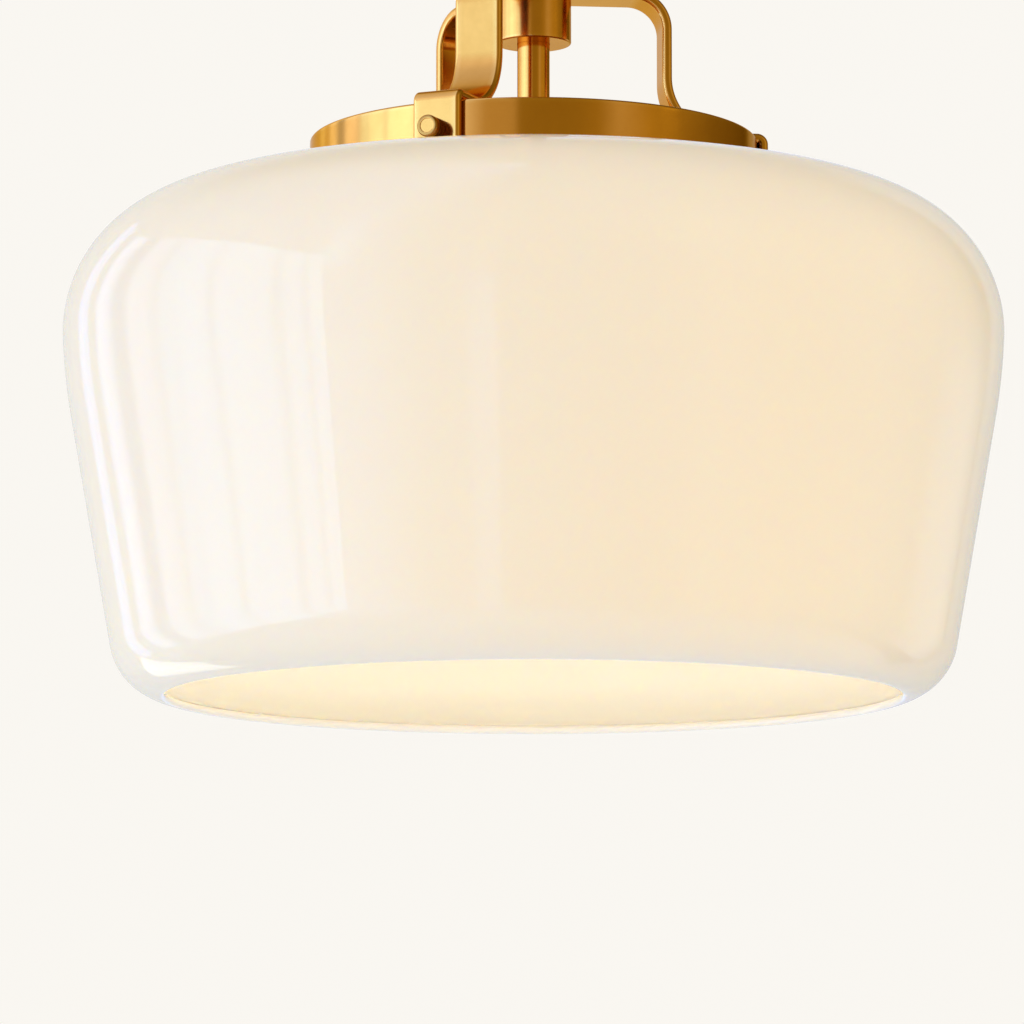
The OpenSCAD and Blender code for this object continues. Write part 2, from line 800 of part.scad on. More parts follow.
module socket_screws() {
    color("silver")
        for (i = [0:socket_count - 1], side = [-1, 1])
            at_socket(i)
                translate([0, side * socket_d / 4, -pan_drop]) small_screw(pan_wall + 8);
}

module socket(i) {
    color("white")
        at_socket(i)
            difference() {
                translate([0, 0, -socket_top - socket_len])
                    cylinder(d = socket_d, h = socket_len);
                translate([0, 0, -socket_top - socket_len - 1])
                    cylinder(r = shell_bore / 2 + shell_wall + run_gap, h = cavity_depth + 1);
                for (side = [-1, 1])
                    translate([0, side * socket_d / 4, -socket_top - 9])
                        cylinder(r = screw_r + run_gap, h = 10);
            }
}

module socket_shell(i) {
    r_in = shell_bore / 2;
    length = cavity_depth - 2;
    color("gold")
        at_socket(i)
            translate([0, 0, -cavity_top - length])
                difference() {
                    cylinder(r = r_in + shell_wall, h = length);
                    translate([0, 0, -1]) cylinder(r = r_in, h = length + 1 - shell_wall);
                    cylinder(r = contact_r + 2, h = length + 1);
                }
}
contact_r = 3;

module socket_contact(i) {
    color("gold")
        at_socket(i)
            translate([0, 0, -cavity_top - contact_h]) cylinder(r = contact_r, h = contact_h);
}

// The thread of the base is a row of soft crests
module bulb_base(i) {
    r = bulb_base_d / 2;
    depth = 0.6;
    turns = floor(bulb_base_len / bulb_pitch) - 1;
    tip_h = 3;
    steps = 6;
    crests = [for (k = [0:turns * steps])
        [r - depth * (1 - cos(k * 360 / steps)) / 2, -tip_h - 1.5 - k * bulb_pitch / steps]];
    low = -tip_h - bulb_base_len;
    color("silver")
        at_socket(i)
            translate([0, 0, -bulb_top])
                rotate_extrude()
                    polygon(concat([[0, 0], [contact_r, 0], [contact_r + 1, -1], [r - 3, -tip_h]],
                        crests, [[r - depth, low], [0, low]]));
}

// Glass of the bulb: a neck, a straight flare and a round end
module bulb_outline(inset, top) {
    r = bulb_d / 2 - inset;
    neck = bulb_neck_d / 2 - inset;
    neck_end = bulb_glass_top - 7;
    ball = -bulb_len + bulb_d / 2;
    reach = norm([neck, neck_end - ball]);
    touch = atan2(neck_end - ball, neck) - acos(r / reach);
    polygon(concat([[0, top], [neck, top], [neck, neck_end]],
        arc([0, ball], r, touch, -90, 20)));
}
bulb_glass_top = -3 - bulb_base_len;

module bulb_glass(i) {
    color("white")
        at_socket(i)
            translate([0, 0, -bulb_top])
                difference() {
                    rotate_extrude() bulb_outline(0, bulb_glass_top);
                    rotate_extrude() bulb_outline(bulb_wall, bulb_glass_top - bulb_wall);
                }
}

// Leads

module stem_leads() {
    top = collar_z - 1;
    low = fitter_z - inner_stem_low + 4;
    color("black")
        for (angle = [90, 210, 330])
            rotate([0, 0, angle])
                translate([lead_circle_r, 0, low]) cylinder(r = lead_r, h = top - low);
}

// Two leads from the stem's end to the side of each socket
module socket_leads() {
    side_y = lead_r + seat_gap / 2 + 0.05;
    start_x = sqrt(lead_circle_r * lead_circle_r - side_y * side_y);
    drop = 6;
    reach = socket_circle_r - sqrt(socket_d * socket_d / 4 - side_y * side_y) - seat_gap;
    color("gray")
        for (angle = socket_angles, side = [-1, 1])
            rotate([0, 0, angle])
                translate([start_x, side * side_y, fitter_z - inner_stem_low + 3.5])
                    mirror([0, 0, 1])
                        bent_lead(drop, lead_bend, reach - start_x - lead_bend);
}

crossbar();
crossbar_nipple();
nipple_locknuts();
ground_screw();
canopy_studs();
canopy();
canopy_cap_nuts();
line_lead();
neutral_lead();
ground_lead();
wire_nuts();
swivel_washer();
swivel_retainer();
swivel_yoke();
swivel_pin();
swivel_tongue();
upper_stem();
stem_nipple();
lower_stem();
hub();
hub_cover();
arm_screws();
strap_arm(arm_angles[0]);  // strap_arm_1
strap_arm(arm_angles[1]);  // strap_arm_2
strap_arm(arm_angles[2]);  // strap_arm_3
inner_stem();
fitter_plate();
fitter_nut();
shade_gasket();
thumb_screw(arm_angles[0]);  // thumb_screw_1
thumb_screw(arm_angles[1]);  // thumb_screw_2
thumb_screw(arm_angles[2]);  // thumb_screw_3
soft_tip(arm_angles[0]);  // soft_tip_1
soft_tip(arm_angles[1]);  // soft_tip_2
soft_tip(arm_angles[2]);  // soft_tip_3
glass_shade();
socket_pan();
pan_nut();
socket_screws();
socket(0);  // socket_1
socket(1);  // socket_2
socket(2);  // socket_3
socket_shell(0);  // socket_shell_1
socket_shell(1);  // socket_shell_2
socket_shell(2);  // socket_shell_3
socket_contact(0);  // socket_contact_1
socket_contact(1);  // socket_contact_2
socket_contact(2);  // socket_contact_3
bulb_base(0);  // bulb_base_1
bulb_base(1);  // bulb_base_2
bulb_base(2);  // bulb_base_3
bulb_glass(0);  // bulb_glass_1
bulb_glass(1);  // bulb_glass_2
bulb_glass(2);  // bulb_glass_3
stem_leads();
socket_leads();
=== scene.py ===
import math

import bmesh
import bpy
import numpy as np
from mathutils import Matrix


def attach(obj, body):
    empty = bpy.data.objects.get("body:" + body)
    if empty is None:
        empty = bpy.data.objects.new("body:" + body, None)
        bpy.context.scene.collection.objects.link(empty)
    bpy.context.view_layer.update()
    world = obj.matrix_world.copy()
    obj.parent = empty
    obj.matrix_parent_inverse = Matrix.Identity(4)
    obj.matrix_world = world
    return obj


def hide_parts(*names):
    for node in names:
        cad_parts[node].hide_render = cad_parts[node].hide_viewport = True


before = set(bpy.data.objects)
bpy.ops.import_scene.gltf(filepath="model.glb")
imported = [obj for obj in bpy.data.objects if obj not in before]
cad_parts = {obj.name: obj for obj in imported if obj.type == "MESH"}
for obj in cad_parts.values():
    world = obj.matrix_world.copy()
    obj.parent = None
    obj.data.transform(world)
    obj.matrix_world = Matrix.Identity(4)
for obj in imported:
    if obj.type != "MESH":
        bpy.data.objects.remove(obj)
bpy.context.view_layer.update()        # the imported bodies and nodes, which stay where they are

mm = 0.001
scene = bpy.context.scene

# Sizes of the lamp in millimetres, as the solids have them. Z is 0 on the ceiling.
lamp = {
    "plate": -443.8,                # top of the fitter plate
    "armAngles": (0, 120, 240),
    "socketAngles": (60, 180, 300),
    "stemRadius": 7.95,
    "nippleRadius": 5.0,
    "neckRadius": 101.6,
    "fitterRadius": 109.3,
    "hubRadius": 18.5,
    "runGap": 0.05,
    "looseGap": 0.3,
}
stemBore = lamp["stemRadius"] + lamp["runGap"]
nippleBore = lamp["nippleRadius"] + lamp["runGap"]
mergeWithin = 3e-6                      # metres, for seams and poles


def unitOf(v):
    v = np.asarray(v, float)
    return v / np.linalg.norm(v)


def towards(degrees):
    a = np.radians(degrees)
    return np.stack([np.cos(a), np.sin(a)], -1)


# An outline from corners (x, y, radius), whose arcs touch both neighbours: each centre lies on the
# bisector, radius / sin(half angle) from the corner. Arc points carry the mark 1 and flat runs the
# mark 0. A point on the flat run beside each arc keeps the run flat in the shading.
def roundedOutline(corners, steps=6):
    c, radii = np.array([k[:2] for k in corners], float), np.array([k[2] for k in corners], float)
    run = np.roll(c, -1, 0) - c
    length = np.linalg.norm(run, axis=1)
    ahead = run / length[:, None]
    behind = -np.roll(ahead, 1, 0)
    halves = 0.5 * np.arccos(np.clip((ahead * behind).sum(1), -1, 1))
    reaches = radii / np.tan(np.maximum(halves, 1e-6))
    flat = length - reaches - np.roll(reaches, -1)      # what is left of each side between two arcs
    points, marks = [], []
    for i, (here, radius) in enumerate(zip(c, radii)):
        if radius == 0:
            points.append(here[None])
            marks.append(np.zeros(1))
            continue
        u, v, half, reach = behind[i], ahead[i], halves[i], reaches[i]
        centre = here + unitOf(u + v) * radius / math.sin(half)
        s, e = here + u * reach - centre, here + v * reach - centre
        a0 = math.atan2(s[1], s[0])
        turn = (math.atan2(e[1], e[0]) - a0 + math.pi) % (2 * math.pi) - math.pi
        arc = centre + radius * towards(np.degrees(a0 + turn * np.linspace(0, 1, steps + 1)))
        lead = [min(1.2 * radius, 0.3 * flat[side]) for side in (i - 1, i)]
        points += [(here + u * (reach + lead[0]))[None], arc, (here + v * (reach + lead[1]))[None]]
        marks += [np.zeros(1), np.ones(len(arc)), np.zeros(1)]
    return np.vstack(points), np.concatenate(marks)


# The section of a ring, with the rounding of its four corners from the lower inner one on
def ringOutline(bore, radius, low, high, rounds, steps):
    places = ((bore, low), (radius, low), (radius, high), (bore, high))
    return roundedOutline([(*place, soft) for place, soft in zip(places, rounds)], steps)


# The section of a spun cup: a floor with a bore, a rounded corner and an upright wall
def cupOutline(c, bore, steps):
    r, w, floor, rim = c["radius"], c["wall"], c["floor"], c["rim"]
    inside = floor + math.copysign(w, rim - floor)
    return roundedOutline([
        (bore, floor, c["boreEdge"]), (r, floor, c["corner"]), (r, rim, c["rimEdge"]),
        (r - w, rim, c["rimEdge"]), (r - w, inside, c["corner"] - w), (bore, inside, c["boreEdge"])],
        steps)


# Points on an arc about c, from one angle to another
def arcPoints(c, r, a0, a1, steps):
    return np.asarray(c) + r * towards(np.linspace(a0, a1, steps + 1))


# Angles all the way round, in degrees
def evenAngles(count):
    return np.arange(count) * 360 / count


# Distances from the Z axis and heights, as points: one row of the grid for each angle
def aroundAxis(degrees, distance, height):
    size = (len(degrees), np.shape(distance)[-1])
    r, z = np.broadcast_to(distance, size), np.broadcast_to(height, size)
    c, s = towards(degrees).T[..., None]
    return np.stack([r * c, r * s, z], -1)


# A turned form: the outline (distance from the axis, height) goes once round the Z axis
def turned(outline, count=96, closed=True, **more):
    points, edge = outline
    marks = {k: np.tile(v, (count, 1)) for k, v in {"edge": edge, **more}.items()}
    return {"grid": aroundAxis(evenAngles(count), *points.T), "marks": marks, "wrap": (True, closed),
            "caps": ()}


# A grid laid along +X if asked, then shifted, then turned about the Z axis
def moved(patch, shift=(0, 0, 0), turn=0.0, lay=False):
    g = patch["grid"][..., [2, 0, 1]] if lay else patch["grid"]
    g = g + np.asarray(shift, float)
    c, s = towards(turn)
    g = np.stack([c * g[..., 0] - s * g[..., 1], s * g[..., 0] + c * g[..., 1], g[..., 2]], -1)
    return {**patch, "grid": g}


# The corners of the quads between neighbours on a grid of point numbers
def quadsOf(ids):
    return np.stack([ids[:-1, :-1], ids[1:, :-1], ids[1:, 1:], ids[:-1, 1:]], -1).reshape(-1, 4)


# Each grid becomes quads, seams and poles are merged, and the faces are turned outwards
def makePiece(name, patches, body, finish, replaced=(), sharpFrom=40):
    points, faces, marks, start = [], [], {}, 0
    for patch in patches:
        nu, nv = patch["grid"].shape[:2]
        ids = start + np.arange(nu * nv).reshape(nu, nv)
        ids = np.vstack([ids, ids[:1]]) if patch["wrap"][0] else ids
        ids = np.hstack([ids, ids[:, :1]]) if patch["wrap"][1] else ids
        faces += quadsOf(ids).tolist()
        faces += [ids[:-1, column].tolist() for column in patch["caps"]]
        points.append(patch["grid"].reshape(-1, 3) * mm)
        for key, value in patch["marks"].items():
            marks.setdefault(key, []).append((start, np.asarray(value, float).ravel()))
        start += nu * nv
    mesh = bpy.data.meshes.new(name)
    mesh.from_pydata(np.vstack(points).tolist(), [], faces)
    for key, parts in marks.items():
        values = np.zeros(start, np.float32)
        for at, part in parts:
            values[at:at + len(part)] = part
        mesh.attributes.new(key, "FLOAT", "POINT").data.foreach_set("value", values)
    work = bmesh.new()
    work.from_mesh(mesh)
    bmesh.ops.remove_doubles(work, verts=work.verts, dist=mergeWithin)
    bmesh.ops.recalc_face_normals(work, faces=work.faces)
    work.to_mesh(mesh)
    work.free()
    mesh.polygons.foreach_set("use_smooth", np.ones(len(mesh.polygons), bool))
    mesh.set_sharp_from_angle(angle=math.radians(sharpFrom))
    mesh.materials.append(finish)
    piece = bpy.data.objects.new(name, mesh)
    scene.collection.objects.link(piece)
    even = piece.modifiers.new("evenShading", "WEIGHTED_NORMAL")
    even.keep_sharp = True
    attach(piece, body)
    if replaced:
        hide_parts(*replaced)
    return piece


# A carried-over solid keeps its shape, gets its edges eased and takes a finish on its own slots
easing = {"mergeWithin": 2e-6, "segments": 2, "sharpFrom": 42}


def dressNode(name, finish, ease=0.0):
    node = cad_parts[name]
    for slot in node.material_slots:
        slot.link = "OBJECT"
        slot.material = finish
    if ease:
        weld = node.modifiers.new("weld", "WELD")
        weld.merge_threshold = easing["mergeWithin"]
        bevel = node.modifiers.new("easedEdges", "BEVEL")
        bevel.width = ease * mm
        bevel.segments = easing["segments"]
        bevel.limit_method = "ANGLE"
        bevel.angle_limit = math.radians(easing["sharpFrom"])
        bevel.harden_normals = True


# An output socket of a node tree, so that masks are written as sums and products
class Link:
    def __init__(self, tree, socket):
        self.tree, self.socket = tree, socket

    def maths(self, operation, a, b):
        return self.tree.node("ShaderNodeMath", {"operation": operation}, {0: a, 1: b})

    def __add__(self, other):
        return self.maths("ADD", self, other)

    def __sub__(self, other):
        return self.maths("SUBTRACT", self, other)

    def __rsub__(self, other):
        return self.maths("SUBTRACT", other, self)

    def __mul__(self, other):
        return self.maths("MULTIPLY", self, other)

    __radd__ = __add__
    __rmul__ = __mul__


class Tree:
    def __init__(self, owner):
        owner.use_nodes = True
        self.nodes, self.links = owner.node_tree.nodes, owner.node_tree.links
        self.nodes.clear()

    # Any node: its type, its settings, the values or links of its sockets, and which output is used
    def node(self, kind, settings=None, sockets=None, out=0):
        made = self.nodes.new(kind)
        for key, value in (settings or {}).items():
            if key == "stops":
                self.setStops(made.color_ramp, value)
            else:
                setattr(made, key, value)
        for key, value in (sockets or {}).items():
            if isinstance(value, Link):
                self.links.new(value.socket, made.inputs[key])
            else:
                made.inputs[key].default_value = value
        return Link(self, made.outputs[out]) if len(made.outputs) else None

    # The ramp sorts its stops itself, so the two that it has become the ends and the rest are added
    def setStops(self, ramp, stops):
        ramp.elements[0].position, ramp.elements[1].position = stops[0][0], stops[-1][0]
        for place, level in stops:
            ends = {stops[0][0]: 0, stops[-1][0]: len(ramp.elements) - 1}
            stop = ramp.elements[ends[place]] if place in ends else ramp.elements.new(place)
            stop.color = (*level, 1) if isinstance(level, tuple) else (level, level, level, 1)

    def noise(self, where, scale, detail=3.0, roughness=0.5, distortion=0.0):
        return self.node("ShaderNodeTexNoise", None, {
            "Vector": where, "Scale": scale, "Detail": detail, "Roughness": roughness,
            "Distortion": distortion})

    def stretched(self, where, scale):
        return self.node("ShaderNodeMapping", None, {"Vector": where, "Scale": scale})

    def ramp(self, value, *stops):
        return self.node("ShaderNodeValToRGB", {"stops": stops}, {0: value})

    def mixed(self, factor, a, b):
        return self.node("ShaderNodeMix", {"data_type": "RGBA"}, {
            0: factor, 6: a if isinstance(a, Link) else (*a, 1), 7: b if isinstance(b, Link) else (*b, 1)},
            out=2)

    def mark(self, name):
        return self.node("ShaderNodeAttribute", {"attribute_name": name}, out="Fac")

    def bump(self, height, strength, distance):
        return self.node("ShaderNodeBump", None, {
            "Height": height, "Strength": strength, "Distance": distance})

    def surface(self, shader):
        self.node("ShaderNodeOutputMaterial", None, {"Surface": shader})


def newFinish(name):
    material = bpy.data.materials.new(name)
    tree = Tree(material)
    return material, tree, tree.node("ShaderNodeTexCoord", out="Object")


# Aged brass under a thin lacquer: clouds of tarnish, fine lathe lines, edges rubbed bright, and a dark
# painted shade laid where a part's mark asks for it
agedBrass = {
    "light": (0.82, 0.41, 0.10), "dark": (0.58, 0.25, 0.042), "worn": (0.90, 0.55, 0.19),
    # The dark colour below paints shade where a part's mark asks for it.
    "edgeTint": (0.85, 0.60, 0.30), "tarnish": (0.13, 0.045, 0.006),
    "cloudScale": 16.0, "cloudShare": 0.5, "fineScale": 240.0, "fineShare": 0.22, "wornShare": 0.4,
    "lineScale": (60, 60, 2400), "relief": 0.05, "reliefDepth": 0.0002,
    "roughness": 0.10, "lacquer": 0.08, "lacquerRoughness": 0.08, "lacquerIor": 1.45,
}


def brassFinish(name, look):
    material, t, here = newFinish(name)
    cloud = t.ramp(t.noise(here, look["cloudScale"], 5, 0.6, 0.4), (0.36, 0), (0.68, 1))
    fine = t.noise(here, look["fineScale"], 4, 0.6)
    lines = t.noise(t.stretched(here, look["lineScale"]), 1.0, 2)
    rubbed = t.mark("edge") * t.ramp(fine, (0.3, 0.35), (0.7, 1))
    shaded = cloud * look["cloudShare"] + fine * look["fineShare"]
    colour = t.mixed(shaded, look["light"], look["dark"])
    colour = t.mixed(rubbed * look["wornShare"], colour, look["worn"])
    # Painted shade: the dark colour laid where the part's mark asks for it
    colour = t.mixed(t.mark("tarnish"), colour, look["tarnish"])
    t.surface(t.node("ShaderNodeBsdfPrincipled", None, {
        "Base Color": colour, "Metallic": 1.0,
        "Roughness": look["roughness"] + cloud * 0.05 + fine * 0.04 - rubbed * 0.02,
        "Specular Tint": (*look["edgeTint"], 1), "Coat Weight": look["lacquer"],
        "Coat Roughness": look["lacquerRoughness"], "Coat IOR": look["lacquerIor"],
        "Normal": t.bump(fine * 0.4 + lines * 0.6, look["relief"], look["reliefDepth"])}))
    return material


# Glossy opal glass: a milky body that lets light in, with slow waves in its skin. Its inner face has a paler,
# warmer colour than the outer, which paints in extra glow inside the shade.
opalGlass = {
    "cool": (0.955, 0.842, 0.775), "warm": (0.955, 0.825, 0.735), "inside": (0.97, 0.90, 0.83),
    "rim": (0.90, 0.86, 0.84), "rimShare": 0.7, "roughness": 0.008, "ior": 1.5,
    "bleed": (1.0, 0.85, 0.55), "depth": 0.006, "slowScale": 3.2, "seedScale": 420,
    "waveScale": 16, "waveStretch": (1.0, 1.0, 0.45), "relief": 0.07, "reliefDepth": 0.004,
}


def opalFinish(name, look):
    material, t, here = newFinish(name)
    slow = t.noise(here, look["slowScale"], 2, 0.4)
    seeds = t.noise(here, look["seedScale"], 2, 0.5)
    waves = t.noise(t.stretched(here, look["waveStretch"]), look["waveScale"], 2, 0.4)
    body = t.mixed(t.ramp(slow, (0.3, 0), (0.7, 1)), look["cool"], look["warm"])
    body = t.mixed(t.mark("edge") * look["rimShare"], body, look["rim"])
    # Painted light: the inner face takes the paler, warmer inside colour
    body = t.mixed(t.mark("inner"), body, look["inside"])
    t.surface(t.node("ShaderNodeBsdfPrincipled", None, {
        "Base Color": body, "Roughness": look["roughness"] + slow * 0.012 + seeds * 0.004,
        "IOR": look["ior"], "Subsurface Weight": 1.0, "Subsurface Radius": look["bleed"],
        "Subsurface Scale": look["depth"],
        "Normal": t.bump(waves + seeds * 0.01, look["relief"], look["reliefDepth"])}))
    return material


# Frosted glass of a bulb: soft white, slightly mottled
frostedGlass = {
    "pale": (0.80, 0.78, 0.73), "grey": (0.72, 0.70, 0.65), "glow": (1.0, 0.86, 0.62), "emission": 0.16,
    "mottleScale": 40, "grainScale": 1600, "roughness": 0.38, "relief": 0.08, "reliefDepth": 0.0001,
    "milky": 0.6, "bleed": (1.0, 0.9, 0.7), "depth": 0.003,
}


def frostedFinish(name, look):
    material, t, here = newFinish(name)
    soft = t.noise(here, look["mottleScale"], 3)
    grain = t.noise(here, look["grainScale"], 2)
    t.surface(t.node("ShaderNodeBsdfPrincipled", None, {
        "Base Color": t.mixed(soft, look["pale"], look["grey"]),
        "Roughness": look["roughness"] + grain * 0.12, "Subsurface Weight": look["milky"],
        "Subsurface Radius": look["bleed"], "Subsurface Scale": look["depth"],
        "Emission Color": t.mixed(soft * 0.3, look["glow"], look["pale"]),
        "Emission Strength": look["emission"],
        "Normal": t.bump(grain, look["relief"], look["reliefDepth"])}))
    return material


# Coatings, ceramics, rubber and plastics: a colour that varies softly, a fine skin and paler edges
coating = {"cloudScale": 22.0, "fineScale": 700.0, "edgeShare": 0.3, "metal": 0.0, "grit": 0.06,
           "coat": 0.0, "milky": 0.0, "relief": 0.06}


def coatedFinish(name, own):
    look = {**coating, "edge": own["colour"], **own}
    material, t, here = newFinish(name)
    slow = t.noise(here, look["cloudScale"], 3, 0.55)
    fine = t.noise(here, look["fineScale"], 3, 0.6)
    colour = t.mixed(t.ramp(slow, (0.32, 0), (0.7, 1)), look["colour"], look["shade"])
    colour = t.mixed(t.mark("edge") * look["edgeShare"], colour, look["edge"])
    t.surface(t.node("ShaderNodeBsdfPrincipled", None, {
        "Base Color": colour, "Metallic": look["metal"],
        "Roughness": look["roughness"] + slow * 0.06 + fine * look["grit"],
        "Coat Weight": look["coat"], "Coat Roughness": 0.05,
        "Subsurface Weight": look["milky"], "Subsurface Scale": 0.002,
        "Normal": t.bump(fine, look["relief"], 0.0002)}))
    return material


def enamelFinish():
    return coatedFinish("whiteEnamel", {
        "colour": (0.86, 0.85, 0.81), "shade": (0.80, 0.785, 0.74), "roughness": 0.16, "coat": 0.5,
        "cloudScale": 9.0, "fineScale": 300.0, "relief": 0.05})


def porcelainFinish():
    return coatedFinish("porcelain", {
        "colour": (0.87, 0.86, 0.82), "shade": (0.81, 0.79, 0.74), "roughness": 0.10, "coat": 0.6,
        "milky": 0.4, "edge": (0.92, 0.91, 0.88)})


def zincFinish():
    return coatedFinish("zincSteel", {
        "colour": (0.62, 0.61, 0.58), "shade": (0.47, 0.46, 0.44), "roughness": 0.26, "metal": 1.0,
        "cloudScale": 60.0, "edge": (0.75, 0.74, 0.72), "edgeShare": 0.6, "grit": 0.1})


def greenFinish():
    return coatedFinish("greenScrewPlate", {
        "colour": (0.06, 0.33, 0.12), "shade": (0.04, 0.24, 0.08), "roughness": 0.3, "metal": 0.75,
        "cloudScale": 90.0, "edge": (0.35, 0.5, 0.34), "edgeShare": 0.6})


def insulationFinish(name, colour, shade):
    return coatedFinish(name, {
        "colour": colour, "shade": shade, "roughness": 0.42, "cloudScale": 45.0, "relief": 0.1})


def wireNutFinish():
    return coatedFinish("wireNutPlastic", {
        "colour": (0.80, 0.50, 0.045), "shade": (0.70, 0.41, 0.03), "roughness": 0.34,
        "edge": (0.9, 0.66, 0.15), "cloudScale": 70.0})


def rubberFinish():
    return coatedFinish("gasketRubber", {
        "colour": (0.035, 0.033, 0.031), "shade": (0.055, 0.052, 0.048), "roughness": 0.6, "relief": 0.2})


def nylonFinish():
    return coatedFinish("nylonTip", {
        "colour": (0.80, 0.78, 0.70), "shade": (0.73, 0.70, 0.61), "roughness": 0.4, "milky": 0.6,
        "cloudScale": 120.0})


def brightBrassFinish():
    return coatedFinish("brightBrass", {
        "colour": (0.80, 0.56, 0.20), "shade": (0.66, 0.43, 0.13), "roughness": 0.2, "metal": 1.0,
        "cloudScale": 70.0, "edge": (0.9, 0.72, 0.36), "edgeShare": 0.5})


def bulbCapFinish():
    return coatedFinish("bulbCap", {
        "colour": (0.72, 0.71, 0.68), "shade": (0.60, 0.59, 0.56), "roughness": 0.2, "metal": 1.0,
        "cloudScale": 80.0, "edge": (0.85, 0.84, 0.82), "edgeShare": 0.5})


def blackGlassFinish():
    return coatedFinish("capInsulator", {
        "colour": (0.012, 0.012, 0.014), "shade": (0.02, 0.02, 0.022), "roughness": 0.12, "coat": 0.5,
        "edge": (0.05, 0.05, 0.05)})


# The camera stands a little below the shade, far off, and looks up by a few degrees
cameraView = {
    "distance": 2.6871, "height": -0.9879, "azimuth": -6.2, "pitch": 7.666, "lens": 196.5,
    "sensor": 36.0, "shift": -0.0210, "farthest": 60.0,
}


def makeCamera(v):
    data = bpy.data.cameras.new("camera")
    data.lens, data.sensor_width, data.shift_x = v["lens"], v["sensor"], v["shift"]
    data.clip_end = v["farthest"]
    camera = bpy.data.objects.new("camera", data)
    scene.collection.objects.link(camera)
    a = math.radians(v["azimuth"])
    camera.location = (math.sin(a) * v["distance"], -math.cos(a) * v["distance"], v["height"])
    camera.rotation_euler = (math.radians(90 + v["pitch"]), 0, a)
    scene.camera = camera


# A pale world for the eye, the metal and the glass, and a plainer level for its light
studio = {
    "backdrop": (0.952, 0.927, 0.880), "ambient": (1.0, 0.985, 0.95), "ambientLevel": 0.74,
    "middle": (0.0, 0.0, -0.58),
}


def makeWorld(s):
    scene.view_settings.view_transform = "Standard"
    world = bpy.data.worlds.new("studio")
    scene.world = world
    t = Tree(world)
    seen = [t.node("ShaderNodeLightPath", out=kind) for kind in
            ("Is Camera Ray", "Is Glossy Ray", "Is Transmission Ray")]
    light = t.node("ShaderNodeBackground", None, {"Color": (*s["ambient"], 1), "Strength": s["ambientLevel"]})
    pale = t.node("ShaderNodeBackground", None, {"Color": (*s["backdrop"], 1), "Strength": 1.0})
    t.node("ShaderNodeOutputWorld", None, {"Surface": t.node("ShaderNodeMixShader", None, {
        0: t.node("ShaderNodeClamp", None, {0: seen[0] + seen[1] + seen[2]}), 1: light, 2: pale})})


# A pale floor far below the lamp. It fades into the backdrop with its distance from the middle.
paleFloor = {
    "size": 7.0, "height": -2.3, "spokes": 96, "rings": (0.0, 0.25, 0.5, 0.75, 1.0),
    "light": (0.90, 0.875, 0.83), "dark": (0.87, 0.845, 0.80), "cloudScale": 1.3, "roughness": 0.85,
    "fadeFrom": 0.30, "fadeTo": 0.92,
}


def makeFloor(f):
    mesh = bpy.data.meshes.new("floor")
    grid = aroundAxis(evenAngles(f["spokes"]), f["size"] * np.array(f["rings"]), f["height"])
    ids = np.arange(grid[..., 0].size).reshape(grid.shape[:2])
    quads = quadsOf(np.vstack([ids, ids[:1]]))
    mesh.from_pydata(grid.reshape(-1, 3).tolist(), [], quads[:, ::-1].tolist())
    floor = bpy.data.objects.new("floor", mesh)
    scene.collection.objects.link(floor)
    material, t, here = newFinish("paleFloor")
    flat = t.node("ShaderNodeVectorMath", {"operation": "MULTIPLY"}, {0: here, 1: (1, 1, 0)})
    far = t.node("ShaderNodeVectorMath", {"operation": "LENGTH"}, {0: flat}, out="Value")
    fade = t.ramp(far * (1 / f["size"]), (f["fadeFrom"], 0), (f["fadeTo"], 1))
    below = t.node("ShaderNodeNewGeometry", out="Backfacing")
    plain = t.node("ShaderNodeBsdfPrincipled", None, {
        "Base Color": t.mixed(t.noise(here, f["cloudScale"], 3), f["light"], f["dark"]),
        "Roughness": f["roughness"]})
    t.surface(t.node("ShaderNodeMixShader", None, {
        0: t.node("ShaderNodeClamp", None, {0: fade + below}), 1: plain,
        2: t.node("ShaderNodeBsdfTransparent")}))
    mesh.materials.append(material)


# A direction seen from the lamp: azimuth from the camera, to the right as positive, and elevation
def studioPoint(azimuth, elevation, distance):
    a = np.radians(np.asarray(azimuth, float) + cameraView["azimuth"])
    e = np.radians(np.asarray(elevation, float))
    way = np.stack([np.sin(a) * np.cos(e), -np.cos(a) * np.cos(e), np.sin(e)], -1)
    return np.asarray(studio["middle"]) + distance * way


# Colours of the light in the reflections
tints = {"warm": (1.0, 0.74, 0.12), "soft": (0.98, 0.82, 0.42), "plain": (0.96, 0.97, 0.95),
         "cool": (0.92, 1.05, 1.45), "cold": (0.78, 1.14, 1.74)}

